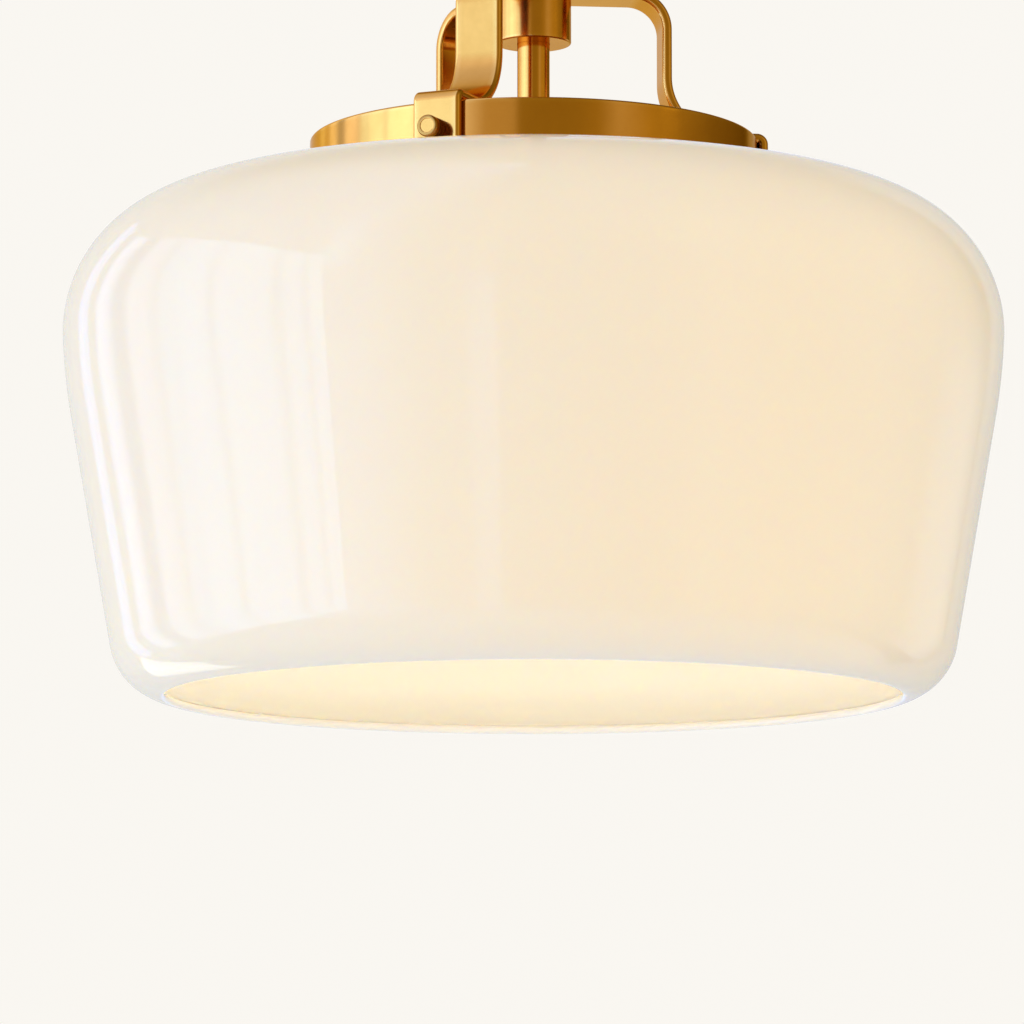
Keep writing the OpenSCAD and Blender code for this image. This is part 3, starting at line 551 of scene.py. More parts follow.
# What only reflections show: a wall and a ceiling whose levels change with the azimuth, and pale
# panels in front of them. A panel is its azimuths, the elevations of its first and second edge, its
# distance, the share of its height over which it fades in from the first edge, and its levels
# along the azimuth, as (azimuth, level, tint).
reflectors = {
    "ceiling": ((-180, 0, 180), (28, 28, 28), (90, 90, 90), 3.25, 0.5, (
        (-180, 0.22, "warm"), (-150, 0.35, "warm"), (-120, 0.75, "plain"), (-60, 0.9, "cool"),
        (-40, 0.9, "cool"), (-12, 0.30, "warm"), (60, 0.25, "warm"), (140, 0.12, "warm"),
        (180, 0.22, "warm"))),
    "studioWall": ((-180, 0, 180), (-50, -50, -50), (60, 60, 60), 3.3, None, (
        (-180, 0.90, "cool"), (-172, 0.80, "plain"), (-146, 0.88, "plain"), (-128, 0.92, "plain"),
        (-60, 1.1, "cool"), (-47, 1.25, "cool"), (-40, 1.05, "cool"), (-32, 0.82, "plain"),
        (-24, 0.57, "soft"), (-8.6, 0.55, "soft"), (-8.2, 0.33, "warm"), (20, 0.33, "warm"),
        (33, 0.40, "warm"), (44, 0.60, "soft"), (61, 0.50, "warm"), (76, 0.40, "warm"),
        (102, 0.26, "warm"), (132, 0.18, "warm"), (135, 0.15, "warm"), (141, 0.20, "warm"),
        (145, 0.5, "plain"), (168, 0.65, "plain"), (180, 0.90, "cool"))),
    "softbox": ((-128, -119, -99, -84, -73, -61, -49), (-23, -27, -30, -29.5, -29, -27, -21),
                (30, 30, 31, 29, 26, 21, 14), 2.9, None, (
        (-128, 1.0, "cool"), (-125, 1.55, "cool"), (-121, 1.4, "cool"), (-117, 0.62, "cool"),
        (-112.5, 0.70, "cool"), (-110, 1.45, "cool"), (-103, 1.5, "cool"), (-99.5, 1.1, "cool"),
        (-96.5, 1.6, "cold"), (-92.5, 1.5, "cold"), (-90, 1.9, "cold"), (-82.5, 1.95, "cold"),
        (-80, 1.3, "cold"), (-77.5, 2.1, "cold"), (-64, 2.2, "cold"), (-61, 1.45, "cold"),
        (-58.5, 2.2, "cold"), (-55.4, 2.2, "cold"), (-53.7, 1.5, "cold"), (-52.2, 2.25, "cold"),
        (-49, 2.2, "cold"))),
    "rimStrip": ((-141, -137, -133), (-19, -21, -20), (31, 31, 30), 2.85, None, (
        (-141, 1.0, "cool"), (-138, 1.25, "cool"), (-133, 1.15, "cool"))),
    "softboxCorner": ((-49, -45, -41), (52, 52, 52), (7, 7, 8), 2.87, 0.8, (
        (-49, 1.65, "cold"), (-45, 1.55, "cold"), (-41, 1.15, "cold"))),
    "paleDoor": ((-15, -12, -8.4), (-33, -33, -33), (3, 3, 3), 2.85, None, (
        (-15, 0.7, "cool"), (-8.4, 0.85, "cool"))),
    "rightStrip": ((112, 126, 142), (12.5, 12.5, 12.5), (-24, -24, -23), 2.85, 0.45, (
        (112, 0.26, "warm"), (119, 0.55, "plain"), (133, 0.76, "plain"), (142, 0.50, "plain"))),
    "armGlow": ((68, 73, 78), (14.8, 14.8, 14.8), (16.2, 16.2, 16.2), 2.85, None, (
        (68, 0.75, "warm"), (78, 0.75, "warm"))),
    "lowStrip": ((-158, -150, -141), (-54, -52, -48), (-21, -19, -17), 2.85, None, (
        (-158, 1.5, "plain"), (-149, 2.0, "plain"), (-141, 1.8, "plain"))),
    "lowSpot": ((177.8, 179.6, 181.4), (-60, -60, -60), (-49, -49, -49), 2.85, None, (
        (177.8, 2.4, "plain"), (179.6, 2.9, "plain"), (181.4, 2.4, "plain"))),
}
panel = {
    "columns": 121, "rows": 13,
    "fade": ((0.0, 0.0), (0.25, 0.1), (0.7, 0.85), (1.0, 1.0)),     # share of the way in, level
}


def makeReflector(name, azimuths, firstEdge, secondEdge, distance, fade, levels):
    columns, rows = panel["columns"], panel["rows"]
    steps, rise = np.linspace(0, 1, columns), np.linspace(0, 1, rows)
    start, width = azimuths[0], azimuths[-1] - azimuths[0]
    along = start + width * steps
    first, second = np.interp(along, azimuths, firstEdge), np.interp(along, azimuths, secondEdge)
    height = first[:, None] + np.outer(second - first, rise)
    grid = studioPoint(np.tile(along[:, None], rows), height, distance)
    quads = quadsOf(np.arange(columns * rows).reshape(columns, rows))
    mesh = bpy.data.meshes.new(name)
    mesh.from_pydata(grid.reshape(-1, 3).tolist(), [], quads.tolist())
    for mark, values in {"across": np.repeat(steps, rows), "up": np.tile(rise, columns)}.items():
        mesh.attributes.new(mark, "FLOAT", "POINT").data.foreach_set("value", values.astype(np.float32))
    board = bpy.data.objects.new(name, mesh)
    scene.collection.objects.link(board)
    board.visible_camera = board.visible_diffuse = board.visible_shadow = False
    board.visible_transmission = board.visible_volume_scatter = False
    material, t, _ = newFinish(name)
    peak = max(level * max(tints[tint]) for _, level, tint in levels)
    places = sorted(((a - start) / width, tuple(level / peak * c for c in tints[tint]))
                    for a, level, tint in levels)
    glow = t.node("ShaderNodeEmission", None, {"Color": t.ramp(t.mark("across"), *places), "Strength": peak})
    if fade:
        seen = t.ramp(t.mark("up"), *((share * fade, level) for share, level in panel["fade"]))
        glow = t.node("ShaderNodeMixShader", None, {
            0: seen, 1: t.node("ShaderNodeBsdfTransparent"), 2: glow})
    t.surface(glow)
    mesh.materials.append(material)


# Soft lamps whose own shapes stay out of the reflections: azimuth, elevation, distance, size, power
# and colour
lamps = {
    "keyLamp": (-62, 3, 2.2, 1.5, 12.0, (0.71, 0.87, 1.06)),
    "bounceLamp": (-92, -66, 1.6, 1.2, 4.2, (0.33, 0.66, 1.05)),
    "fillLamp": (48, 3, 2.2, 1.6, 10.5, (1.0, 0.82, 0.52)),
}


def makeLamp(name, azimuth, elevation, distance, size, power, tint):
    data = bpy.data.lights.new(name, "AREA")
    data.energy, data.size, data.color = power, size, tint
    light = bpy.data.objects.new(name, data)
    scene.collection.objects.link(light)
    place = studioPoint(azimuth, elevation, distance)
    light.location = place
    aim = np.asarray(studio["middle"]) - place
    light.rotation_euler = (math.atan2(math.hypot(aim[0], aim[1]), -aim[2]), 0,
                            math.atan2(aim[1], aim[0]) - math.pi / 2)
    light.visible_camera = light.visible_glossy = False


# The glow inside the shade comes in through its mouth, as off a pale table, and rides with it
mouthGlow = {"height": -720.0, "size": 0.33, "power": 0.35, "tint": (1.0, 0.865, 0.68)}


def makeGlow(g):
    data = bpy.data.lights.new("mouthGlow", "AREA")
    data.shape, data.energy, data.size, data.color = "DISK", g["power"], g["size"], g["tint"]
    light = bpy.data.objects.new("mouthGlow", data)
    scene.collection.objects.link(light)
    light.location = (0, 0, g["height"] * mm)
    light.rotation_euler = (math.pi, 0, 0)
    light.visible_camera = light.visible_glossy = False
    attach(light, "pendant")


# The shade's wall is a chain of arcs that touch. Each centre follows from the one before, and the
# angles are those of the outer face's normal, as in the solids.
shade = {
    "radius": 228.6, "wall": 4.0, "lipOut": 2.9, "lipHeight": 5.0, "fillet": 5.0, "drop": 23.4,
    "slope": 2.4, "shoulderEnd": 10.7, "corner": 66.5, "belly": 300.0, "bellyStart": 2.9,
    "taper": 10.1, "side": 113.6, "bottom": 30.2, "bottomTurn": 69.4, "lipTop": -6.2,
    "soft": 1.0, "beadFoot": 0.6, "neckRun": 8.0, "rimReach": 14.0, "around": 288,
}


# The arcs as (centre, radius, +1 where an inset adds to it, first and last angle, steps), then the
# middle of the round lip and the angle of its outer end
def shadeArcs(s):
    neck = np.array([lamp["neckRadius"] + s["fillet"],
                     -s["drop"] + s["fillet"] * math.cos(math.radians(s["slope"]))])
    slope, end = 90 - s["slope"], 90 - s["shoulderEnd"]
    start = neck - s["fillet"] * towards(slope)
    cosSlope, cosEnd = towards(slope)[0], towards(end)[0]
    reach = (s["radius"] - s["corner"] * (1 - cosEnd) - start[0]) / (cosEnd - cosSlope)
    shoulder = start - reach * towards(slope)
    corner = shoulder + (reach - s["corner"]) * towards(end)
    belly = corner + (s["corner"] - s["belly"]) * towards(-s["bellyStart"])
    side = s["side"] * towards(-s["taper"] - 90)
    bottom = belly + (s["belly"] - s["bottom"]) * towards(-s["taper"]) + side
    lip = -s["taper"] - s["bottomTurn"]
    arcs = [(neck, s["fillet"], 1, 180, 180 + slope, 8), (shoulder, reach, -1, slope, end, 16),
            (corner, s["corner"], -1, end, -s["bellyStart"], 40),
            (belly, s["belly"], -1, -s["bellyStart"], -s["taper"], 12),
            (bottom, s["bottom"], -1, -s["taper"], lip, 28)]
    return arcs, bottom + (s["bottom"] - s["wall"] / 2) * towards(lip), lip


# Round the wall in turn: the bead at the neck's top, the outer face, the lip and the inner face
def glassShade(finish):
    s = shade
    arcs, lipCentre, lipAngle = shadeArcs(s)
    faces = [np.vstack([arcPoints(c, r + sign * inset, a0, a1, n) for c, r, sign, a0, a1, n in arcs])
             for inset in (0, s["wall"])]
    neck, soft = lamp["neckRadius"], s["soft"]
    bead, top, low = neck + s["lipOut"], s["lipTop"], s["lipTop"] - s["lipHeight"]
    crown, _ = roundedOutline([(neck - s["wall"], top, soft), (bead, top, soft), (bead, low, soft),
                               (neck, low, s["beadFoot"]), (neck, low - s["neckRun"], 0)])
    crown = crown[:-1]                  # its last point only gives the bead's foot a direction
    rim = arcPoints(lipCentre, s["wall"] / 2, lipAngle, lipAngle - 180, 12)[1:-1]
    outline = np.vstack([crown, faces[0], rim, faces[1][::-1]])
    toRim = np.linalg.norm(outline - lipCentre, axis=1)
    nearRim = np.clip(1 - toRim / s["rimReach"], 0, 1)
    inner = np.concatenate([np.zeros(len(crown) + len(faces[0])), np.linspace(0, 1, len(rim)),
                            np.ones(len(faces[1]))])
    patch = turned((outline, nearRim), s["around"], True, inner=inner)
    makePiece("glassShade", [moved(patch, (0, 0, lamp["plate"]))], "pendant", finish,
              ["glass_shade"], sharpFrom=60)


# The fitter is a plate with a ring of air holes and a deep band. Between two circles each hole has
# a patch whose rays run from the hole's edge out to the patch's border.
fitter = {
    "plate": 2.0, "band": 21.5, "wall": 1.6, "edge": 1.2, "lip": 0.5, "inner": 0.4, "holes": 12,
    "hole": 4.0, "circle": 60.0, "inside": 45.0, "outside": 80.0, "ease": 0.3, "midway": 0.45,
    "steps": 16, "sideSteps": 8,
}


def holePatch(f):
    half = 180 / f["holes"]
    turn = np.linspace(-half, half, f["steps"] + 1)
    out = np.linspace(f["outside"], f["inside"], f["sideSteps"] + 1)
    border = np.vstack([f["outside"] * towards(turn[:-1]), out[:-1, None] * towards(half),
                        f["inside"] * towards(turn[:0:-1]), out[:0:-1, None] * towards(-half)])
    centre = np.array([f["circle"], 0.0])
    ray = border - centre
    length = np.linalg.norm(ray, axis=1, keepdims=True)
    ray = ray / length
    h, e, low = f["hole"], f["ease"], -f["plate"]
    midway, whole = f["midway"] * length, length
    # down through the hole: distance along the rays, height and mark of each row
    rows = [(whole, 0, 0), (midway, 0, 0), (h + 3 * e, 0, 0), (h + e, 0, 1), (h, -e, 1),
            (h, low + e, 1), (h + e, low, 1), (h + 3 * e, low, 0), (midway, low, 0), (whole, low, 0)]
    grid, marks = [], []
    for reach, z, mark in rows:
        flat = centre + ray * reach
        grid.append(np.column_stack([flat, np.full(len(flat), z)]))
        marks.append(np.full(len(flat), float(mark)))
    return {"grid": np.stack(grid, 1), "marks": {"edge": np.stack(marks, 1)}, "wrap": (True, False),
            "caps": ()}


def fitterCap(finish):
    f, r = fitter, lamp["fitterRadius"]
    count = f["holes"] * f["steps"]
    rim = roundedOutline([(f["outside"], 0, 0), (r, 0, f["edge"]), (r, -f["band"], f["lip"]),
                          (r - f["wall"], -f["band"], f["lip"]),
                          (r - f["wall"], -f["plate"], f["inner"]), (f["outside"], -f["plate"], 0)])
    middle = roundedOutline([(f["inside"], -f["plate"], 0), (stemBore, -f["plate"], f["ease"]),
                             (stemBore, 0, f["ease"]), (f["inside"], 0, 0)])
    half = 180 / f["holes"]
    patches = [moved(turned(line, count, False), turn=half) for line in (rim, middle)]
    patches += [moved(holePatch(f), turn=half * (2 * i + 1)) for i in range(f["holes"])]
    patches = [moved(p, (0, 0, lamp["plate"])) for p in patches]
    makePiece("fitterCap", patches, "pendant", finish, ["fitter_plate"])


# A strap is a rounded bar carried along a path. Its faces lie half a thickness to each side of
# the path's normal, and the section shrinks by a quarter circle at the tab's end.
strap = {
    "width": 24.0, "thickness": 4.8, "round": 1.9, "start": 13.0, "upright": 62.3, "rise": 71.0,
    "topBend": 15.0, "footBend": 27.0, "edgeBend": 0.6, "tab": 20.0, "endRound": 1.3,
    "topRows": 25, "footRows": 31, "edgeRows": 17, "endRows": 7, "roundSteps": 8,
    "paintedShadeRows": 20, "tarnish": 0.9,       # how far up the tab's inner face the shade is painted, and how dark
}


def strapPath(s):
    t, r, edge = s["thickness"], s["endRound"], lamp["fitterRadius"] + lamp["looseGap"]
    top = np.array([s["upright"] - s["topBend"], s["rise"] - s["topBend"]])
    foot = np.array([s["upright"] + t + s["footBend"], t + s["footBend"]])
    corner = np.array([edge - s["edgeBend"], -s["edgeBend"]])
    topTurn = np.linspace(90, 0, s["topRows"])
    footTurn = np.linspace(180, 270, s["footRows"])
    edgeTurn = np.linspace(90, 0, s["edgeRows"])
    rows = s["endRows"]
    fall = np.radians(np.linspace(0, 90, rows))
    end = np.column_stack([np.full(rows, edge + t / 2), -s["tab"] + r - r * np.sin(fall)])
    points = np.vstack([[s["start"], s["rise"] + t / 2], top + (s["topBend"] + t / 2) * towards(topTurn),
                        foot + (s["footBend"] + t / 2) * towards(footTurn),
                        corner + (s["edgeBend"] + t / 2) * towards(edgeTurn), end])
    normals = np.vstack([[0, 1], towards(topTurn), -towards(footTurn), towards(edgeTurn),
                         np.tile([1, 0], (rows, 1))])
    inset = np.concatenate([np.zeros(len(points) - rows), r * (1 - np.cos(fall))])
    return points, normals, inset


def strapPatch(s):
    points, normals, inset = strapPath(s)
    w, h, c = s["width"] / 2, s["thickness"] / 2, s["round"]
    section, marks = roundedOutline([(w, -h, c), (w, h, c), (-w, h, c), (-w, -h, c)], s["roundSteps"])
    core = np.array([w - c, h - c])
    outward = (section - np.clip(section, -core, core)) / c
    shape = section[:, None, :] - outward[:, None, :] * inset[None, :, None]
    grid = np.stack([points[:, 0] + shape[..., 1] * normals[:, 0], shape[..., 0],
                     points[:, 1] + shape[..., 1] * normals[:, 1]], -1)
    edge = np.maximum(np.tile(marks[:, None], (1, len(points))), (inset > 0)[None, :])
    # Painted shade: the inner face near the tab's end is darkened, so the band beside the tab reflects it
    # dark.
    nearTab = np.arange(len(points)) >= len(points) - s["paintedShadeRows"]
    tarnish = s["tarnish"] * np.outer(section[:, 1] < -core[1], nearTab)
    return {"grid": grid, "marks": {"edge": edge, "tarnish": tarnish}, "wrap": (True, False),
            "caps": (0, -1)}


def strapArms(finish):
    for i, angle in enumerate(lamp["armAngles"], 1):
        makePiece(f"strapArm{i}", [moved(strapPatch(strap), (0, 0, lamp["plate"]), angle)], "pendant",
                  finish, [f"strap_arm_{i}"], sharpFrom=50)


# The hub is a drum with a stem's seat at each end. Its cover is a low cone with a step.
hub = {
    "height": 40.0, "rise": 49.0, "edge": 1.0, "seat": 14.0, "seatEdge": 0.3, "bore": 4.0,
    "cover": 5.0, "coverInset": 1.2, "coverTaper": 0.2, "coverStep": 0.9, "coverTop": 4.0,
    "footRound": 0.4, "stepRound": 0.5, "crownRound": 0.8, "around": 128,
}


def hubBody(finish):
    h, r, low = hub, lamp["hubRadius"], lamp["plate"] + hub["rise"]
    top, ease, upper = h["height"], h["seatEdge"], h["height"] - h["seat"]
    body = roundedOutline([
        (stemBore, 0, ease), (r, 0, h["edge"]), (r, top, h["edge"]), (stemBore, top, ease),
        (stemBore, upper, 0), (h["bore"], upper, 0), (h["bore"], h["seat"], 0), (stemBore, h["seat"], 0)])
    makePiece("hubBody", [moved(turned(body, h["around"]), (0, 0, low))], "pendant",
              finish, ["hub"])
    foot = r - h["coverInset"]
    cover = roundedOutline([
        (stemBore, 0, 0), (foot, 0, h["footRound"]),
        (foot - h["coverTaper"], h["coverStep"], h["stepRound"]),
        (stemBore + h["coverTop"], h["cover"], h["crownRound"]), (stemBore, h["cover"], ease)])
    makePiece("hubCover", [moved(turned(cover, h["around"]), (0, 0, low + top))], "pendant",
              finish, ["hub_cover"])


# The tubes of the stem: lower and upper end, bore and node
stems = {
    "upperStem": (-216.4, -64.0, nippleBore, "upper_stem"),
    "lowerStem": (-368.8, -216.4, nippleBore, "lower_stem"),
    "innerStem": (-466.3, -380.8, 4.0, "inner_stem"),
}
stemRounds = (0.3, 0.5, 0.5, 0.3)


def stemTubes(finish):
    for name, (low, high, bore, node) in stems.items():
        tube = ringOutline(bore, lamp["stemRadius"], low, high, stemRounds, 5)
        makePiece(name, [turned(tube)], "pendant", finish, [node])


# A thumb screw lies along the arm's radius: a plain shaft and a turned head, whose barrel is
# knurled by a cosine of the angle, then a groove and a smooth cap with a shallow dish in its end
thumb = {
    "drop": 14.7, "shaft": 2.5, "shaftFrom": 102.95, "head": 5.25, "headFrom": 114.7,
    "headLength": 9.5, "headEdge": 0.4, "plain": 0.9, "fade": 0.4, "collar": 0.7,
    "groove": 119.6, "grooveWidth": 0.7, "grooveDepth": 0.8, "edge": 0.9,
    "rim": 1.7, "dishSlope": 0.3, "dish": 0.25, "teeth": 34, "toothSteps": 8, "toothDepth": 0.4,
    "shaftEdge": 0.3, "shaftFoot": 0.15, "grooveEdge": 0.3, "grooveFoot": 0.1, "dishEdge": 0.2,
    "worn": 0.4, "tarnish": (1.0, 0.75, 0.55, 0.5), "darkInGroove": 0.2, "shadeFreeInside": 1.5,
}
softTip = {"radius": 3.2, "from": 101.9, "length": 2.4, "seat": 1.0, "gap": 0.05, "around": 48,
           "noseRound": 0.5, "backRound": 0.3, "boreRound": 0.15}


def screwPatch(s):
    head, low, groove, end = s["head"], s["headFrom"], s["groove"], s["headFrom"] + s["headLength"]
    deep, after = head - s["grooveDepth"], groove + s["grooveWidth"]
    mouth, floor = head - s["rim"], end - s["dish"]
    knurl = [low + s["plain"], low + s["plain"] + s["fade"], groove - s["collar"] - s["fade"],
             groove - s["collar"]]
    outline, edge = roundedOutline([
        (0, s["shaftFrom"], 0), (s["shaft"], s["shaftFrom"], s["shaftEdge"]),
        (s["shaft"], low, s["shaftFoot"]), (head, low, s["headEdge"]), *((head, z, 0) for z in knurl),
        (head, groove, s["grooveEdge"]), (deep, groove, s["grooveFoot"]),
        (deep, after, s["grooveFoot"]), (head, after, s["grooveEdge"]), (head, end, s["edge"]),
        (mouth, end, s["dishEdge"]), (mouth - s["dishSlope"], floor, s["dishEdge"]), (0, floor, 0)])
    r, z = outline.T
    count = s["teeth"] * s["toothSteps"]
    patch = turned((outline, edge), count, False)
    share = np.interp(z, knurl, [0, 1, 1, 0]) * (r > deep)
    wave = 0.5 + 0.5 * np.cos(np.radians(s["teeth"] * evenAngles(count)))
    patch["grid"][..., :2] *= (1 - s["toothDepth"] / head * np.outer(wave, share))[..., None]
    patch["marks"]["edge"] = np.maximum(patch["marks"]["edge"], np.outer(1 - wave, share)) * s["worn"]
    # Painted shade: the shaft and the barrel are darkened as if shaded in the tab's hole, less towards the
    # cap's end; the dish in the cap stays unshaded.
    outside = np.interp(z, [groove + s["darkInGroove"], after, end - s["edge"], end], s["tarnish"])
    inside = np.where(z > after, 0.0, 1.0)
    dark = np.where(r < head - s["shadeFreeInside"], inside, outside)
    patch["marks"]["tarnish"] = np.tile(dark, (count, 1))
    return patch


def thumbScrews(metal, soft):
    t, z = softTip, lamp["plate"] - thumb["drop"]
    low, bore = t["from"], thumb["shaft"] + t["gap"]
    end, seat = low + t["length"], low + t["seat"]
    tip = roundedOutline([(0, low, 0), (t["radius"], low, t["noseRound"]),
                          (t["radius"], end, t["backRound"]), (bore, end, t["boreRound"]),
                          (bore, seat, 0), (0, seat, 0)])
    for i, angle in enumerate(lamp["armAngles"], 1):
        place = {"shift": (0, 0, z), "turn": angle, "lay": True}
        makePiece(f"thumbScrew{i}", [moved(screwPatch(thumb), **place)], f"thumb_screw_{i}",
                  metal, [f"thumb_screw_{i}"])
        makePiece(f"softTip{i}", [moved(turned(tip, t["around"], False), **place)], f"soft_tip_{i}",
                  soft, [f"soft_tip_{i}"])


# The canopy is a spun cup with a rounded lower edge and a rolled rim against the ceiling
canopy = {"radius": 65.0, "floor": -26.0, "rim": 0.0, "wall": 1.2, "corner": 7.0, "rimEdge": 0.5,
          "boreEdge": 0.2, "stud": 24.0, "around": 192}
capNut = {"bore": 2.05, "depth": 5.0, "around": 64, "dome": (
    (2.05, 0, 0.2), (5.0, 0, 0.3), (5.0, -3.0, 0.6), (4.6, -5.2, 1.2), (2.9, -7.4, 1.6), (0, -8.0, 0))}
washer = {"radius": 13.0, "thickness": 1.0, "rounds": (0.2, 0.3, 0.3, 0.2)}


def canopyShell(finish):
    c, n, low = canopy, capNut, canopy["floor"]
    makePiece("canopyShell", [turned(cupOutline(c, nippleBore, 14), c["around"])], "ceiling_mount",
              finish, ["canopy"])
    dome, edge = roundedOutline(n["dome"])
    outline = np.vstack([[0, -n["depth"]], [n["bore"], -n["depth"]], dome])
    patch = turned((outline, np.concatenate([np.zeros(2), edge])), n["around"], False)
    makePiece("canopyCapNuts", [moved(patch, (side * c["stud"], 0, low)) for side in (-1, 1)],
              "ceiling_mount", finish, ["canopy_cap_nuts"])
    ring = ringOutline(nippleBore, washer["radius"], low - washer["thickness"], low, washer["rounds"], 4)
    makePiece("swivelWasher", [turned(ring)], "ceiling_mount", finish, ["swivel_washer"])


# A hexagon nut: the distance to its side is half the width / cos(angle from the flat's middle),
# and its corners drop under a 30 degree cone
def hexNut(width, bore, height, crownShare=0.96, ease=0.3, count=72):
    a, flat = evenAngles(count), np.ones(count)
    side = width / 2 / np.cos(np.radians(a % 60 - 30))
    crown = crownShare * width / 2
    drop = (side - crown) * math.tan(math.radians(30))
    rows = [(bore * flat, ease * flat), ((bore + ease) * flat, 0 * flat), (crown * flat, 0 * flat),
            (side, drop), (side, height - drop), (crown * flat, height * flat),
            ((bore + ease) * flat, height * flat), (bore * flat, (height - ease) * flat)]
    r, z = (np.stack([row[k] for row in rows], 1) for k in (0, 1))
    marks = np.tile([0, 0, 0.4, 1, 1, 0.4, 0, 0], (count, 1))
    return {"grid": aroundAxis(a, r, z), "marks": {"edge": marks}, "wrap": (True, True), "caps": ()}


# Each kind of nut: node, body, width across the flats, bore, height and where its lower faces lie
nutKinds = {
    "fitterNut": ("fitter_nut", "pendant", 24.0, stemBore, 5.0, (-450.8,)),
    "panNut": ("pan_nut", "pendant", 24.0, stemBore, 5.0, (-464.3,)),
    "nippleLocknuts": ("nipple_locknuts", "ceiling_mount", 14.0, nippleBore, 2.5, (-14.0, -19.0)),
}


def nuts(steel):
    for name, (node, body, width, bore, height, lows) in nutKinds.items():
        makePiece(name, [moved(hexNut(width, bore, height), (0, 0, low)) for low in lows], body,
                  steel, [node], sharpFrom=25)


# Twist-on connectors: a tapering cap whose ribs are waves of the angle
wireNut = {
    "place": (24.0, 0, -7.5), "turns": (60, -60), "length": 18.0, "rows": 40, "around": 96,
    "ribs": 12, "ribDepth": 0.5,
    "profile": ((0, 4.2), (0.6, 4.6), (4, 4.6), (17, 3.0), (17.6, 2.6), (18, 2.2)),    # along, radius
    "ribbed": ((3, 0), (5, 1), (15, 1), (16.5, 0)),                                    # along, share
}


def wireNuts(finish):
    n, a = wireNut, evenAngles(wireNut["around"])
    x = np.linspace(0, n["length"], n["rows"])
    r, share = (np.interp(x, *np.transpose(n[key])) for key in ("profile", "ribbed"))
    wave = 0.5 + 0.5 * np.cos(np.radians(n["ribs"] * a))
    grid = aroundAxis(a, r - n["ribDepth"] * np.outer(wave, share), x)
    patch = {"grid": grid, "marks": {"edge": np.outer(1 - wave, share)}, "wrap": (True, False),
             "caps": (0, -1)}
    makePiece("wireNuts", [moved(patch, n["place"], turn, True) for turn in n["turns"]],
              "ceiling_mount", finish, ["wire_nuts"], sharpFrom=50)


# Pan, sockets and bulbs
pan = {"radius": 85.0, "floor": 0.0, "rim": -17.0, "wall": 1.5, "corner": 6.0, "rimEdge": 0.6,
       "boreEdge": 0.3, "drop": 14.0, "around": 192}
socket = {
    "circle": 50.0, "radius": 20.0, "length": 42.0, "cavity": 30.0, "groove": (-11.0, -16.0),
    "grooveDepth": 1.0, "shell": 13.3, "shellWall": 0.5, "shellLength": 28.0, "pitch": 3.6,
    "waveMiddle": 0.2, "wave": 0.15, "lap": 0.05, "shellRows": 60, "contact": 3.0,
    "topRound": 1.0, "grooveRound": 0.5, "lowRound": 1.6, "mouthRound": 1.2, "roofRound": 0.5,
    "contactRound": 0.8,
    "around": 96, "shellAround": 72, "contactAround": 32,
}


def socketPan(finish):
    cup = turned(cupOutline(pan, stemBore, 10), pan["around"])
    makePiece("socketPan", [moved(cup, (0, 0, lamp["plate"] - pan["drop"]))], "pendant",
              finish, ["socket_pan"])


# A porcelain drum with a groove round it and a cavity for the cap
def socketBody(s):
    r, low, roof = s["radius"], -s["length"], s["cavity"] - s["length"]
    high, deep = s["groove"]
    depth, soft = s["grooveDepth"], s["grooveRound"]
    cavity = s["shell"] + s["shellWall"] + lamp["runGap"]
    return turned(roundedOutline([
        (0, 0, 0), (r, 0, s["topRound"]), (r, high, soft), (r - depth, high - depth, soft),
        (r - depth, deep + depth, soft), (r, deep, soft), (r, low, s["lowRound"]),
        (cavity, low, s["mouthRound"]), (cavity, roof, s["roofRound"]), (0, roof, 0)]),
        s["around"], False)


# The screw shell's inner face is a cosine wave of the height
def socketShell(s):
    z = s["cavity"] - s["length"] - s["shellLength"] * np.linspace(0, 1, s["shellRows"])
    wave = s["waveMiddle"] + s["wave"] * np.cos(2 * np.pi * (z - z[0]) / s["pitch"])
    inside = np.column_stack([s["shell"] + wave, z])
    outside = np.column_stack([np.full(len(z), s["shell"] + s["shellWall"] - s["lap"]), z])
    return turned((np.vstack([inside, outside[::-1]]), np.zeros(2 * len(z))), s["shellAround"])


def sockets(ceramic, brass):
    s, roof = socket, socket["cavity"] - socket["length"]
    low, r = roof - s["contact"], s["contact"]
    spring = turned(roundedOutline([(0, low, 0), (r, low, s["contactRound"]), (r, roof, 0)]),
                    s["contactAround"], False)
    body, sleeve = socketBody(s), socketShell(s)
    top = lamp["plate"] - pan["drop"] - pan["wall"]
    for i, angle in enumerate(lamp["socketAngles"], 1):
        place = {"shift": (s["circle"], 0, top), "turn": angle}
        makePiece(f"socketBody{i}", [moved(body, **place)], "pendant", ceramic,
                  [f"socket_{i}"])
        makePiece(f"socketShell{i}", [moved(sleeve, **place)], "pendant", brass,
                  [f"socket_shell_{i}"])
        makePiece(f"socketContact{i}", [moved(spring, **place)], "pendant", brass,
                  [f"socket_contact_{i}"])


# A bulb's cap has a rolled thread: its radius is a cosine of the height less the angle's share of
# a pitch. Its glass is a neck, a straight flare and a round end.
bulb = {
    "radius": 30.0, "length": 107.0, "neck": 12.5, "neckEnd": -32.0, "neckBend": 9.0,
    "glassFrom": -25.0, "top": -30.8, "cap": 13.0, "pitch": 3.6, "depth": 0.6,
    "thread": (-25.0, -23.2, -6.2, -4.5),       # where it starts, is full, is still full and ends
    "button": ((0, 0, 0), (3.0, 0, 0.9), (3.6, -0.9, 0.3), (0, -1.0, 0)),
    "cone": ((0, -0.85, 0), (3.8, -0.85, 0.3), (9.6, -3.0, 0.8), (9.9, -3.4, 0.2), (0, -3.4, 0)),
    "shoulder": ((0, -2.9, 0), (9.4, -2.9, 0), (12.4, -4.5, 0)),
    "around": 96, "capAround": 72, "threadRows": 110, "coneAround": 64, "buttonAround": 48,
}


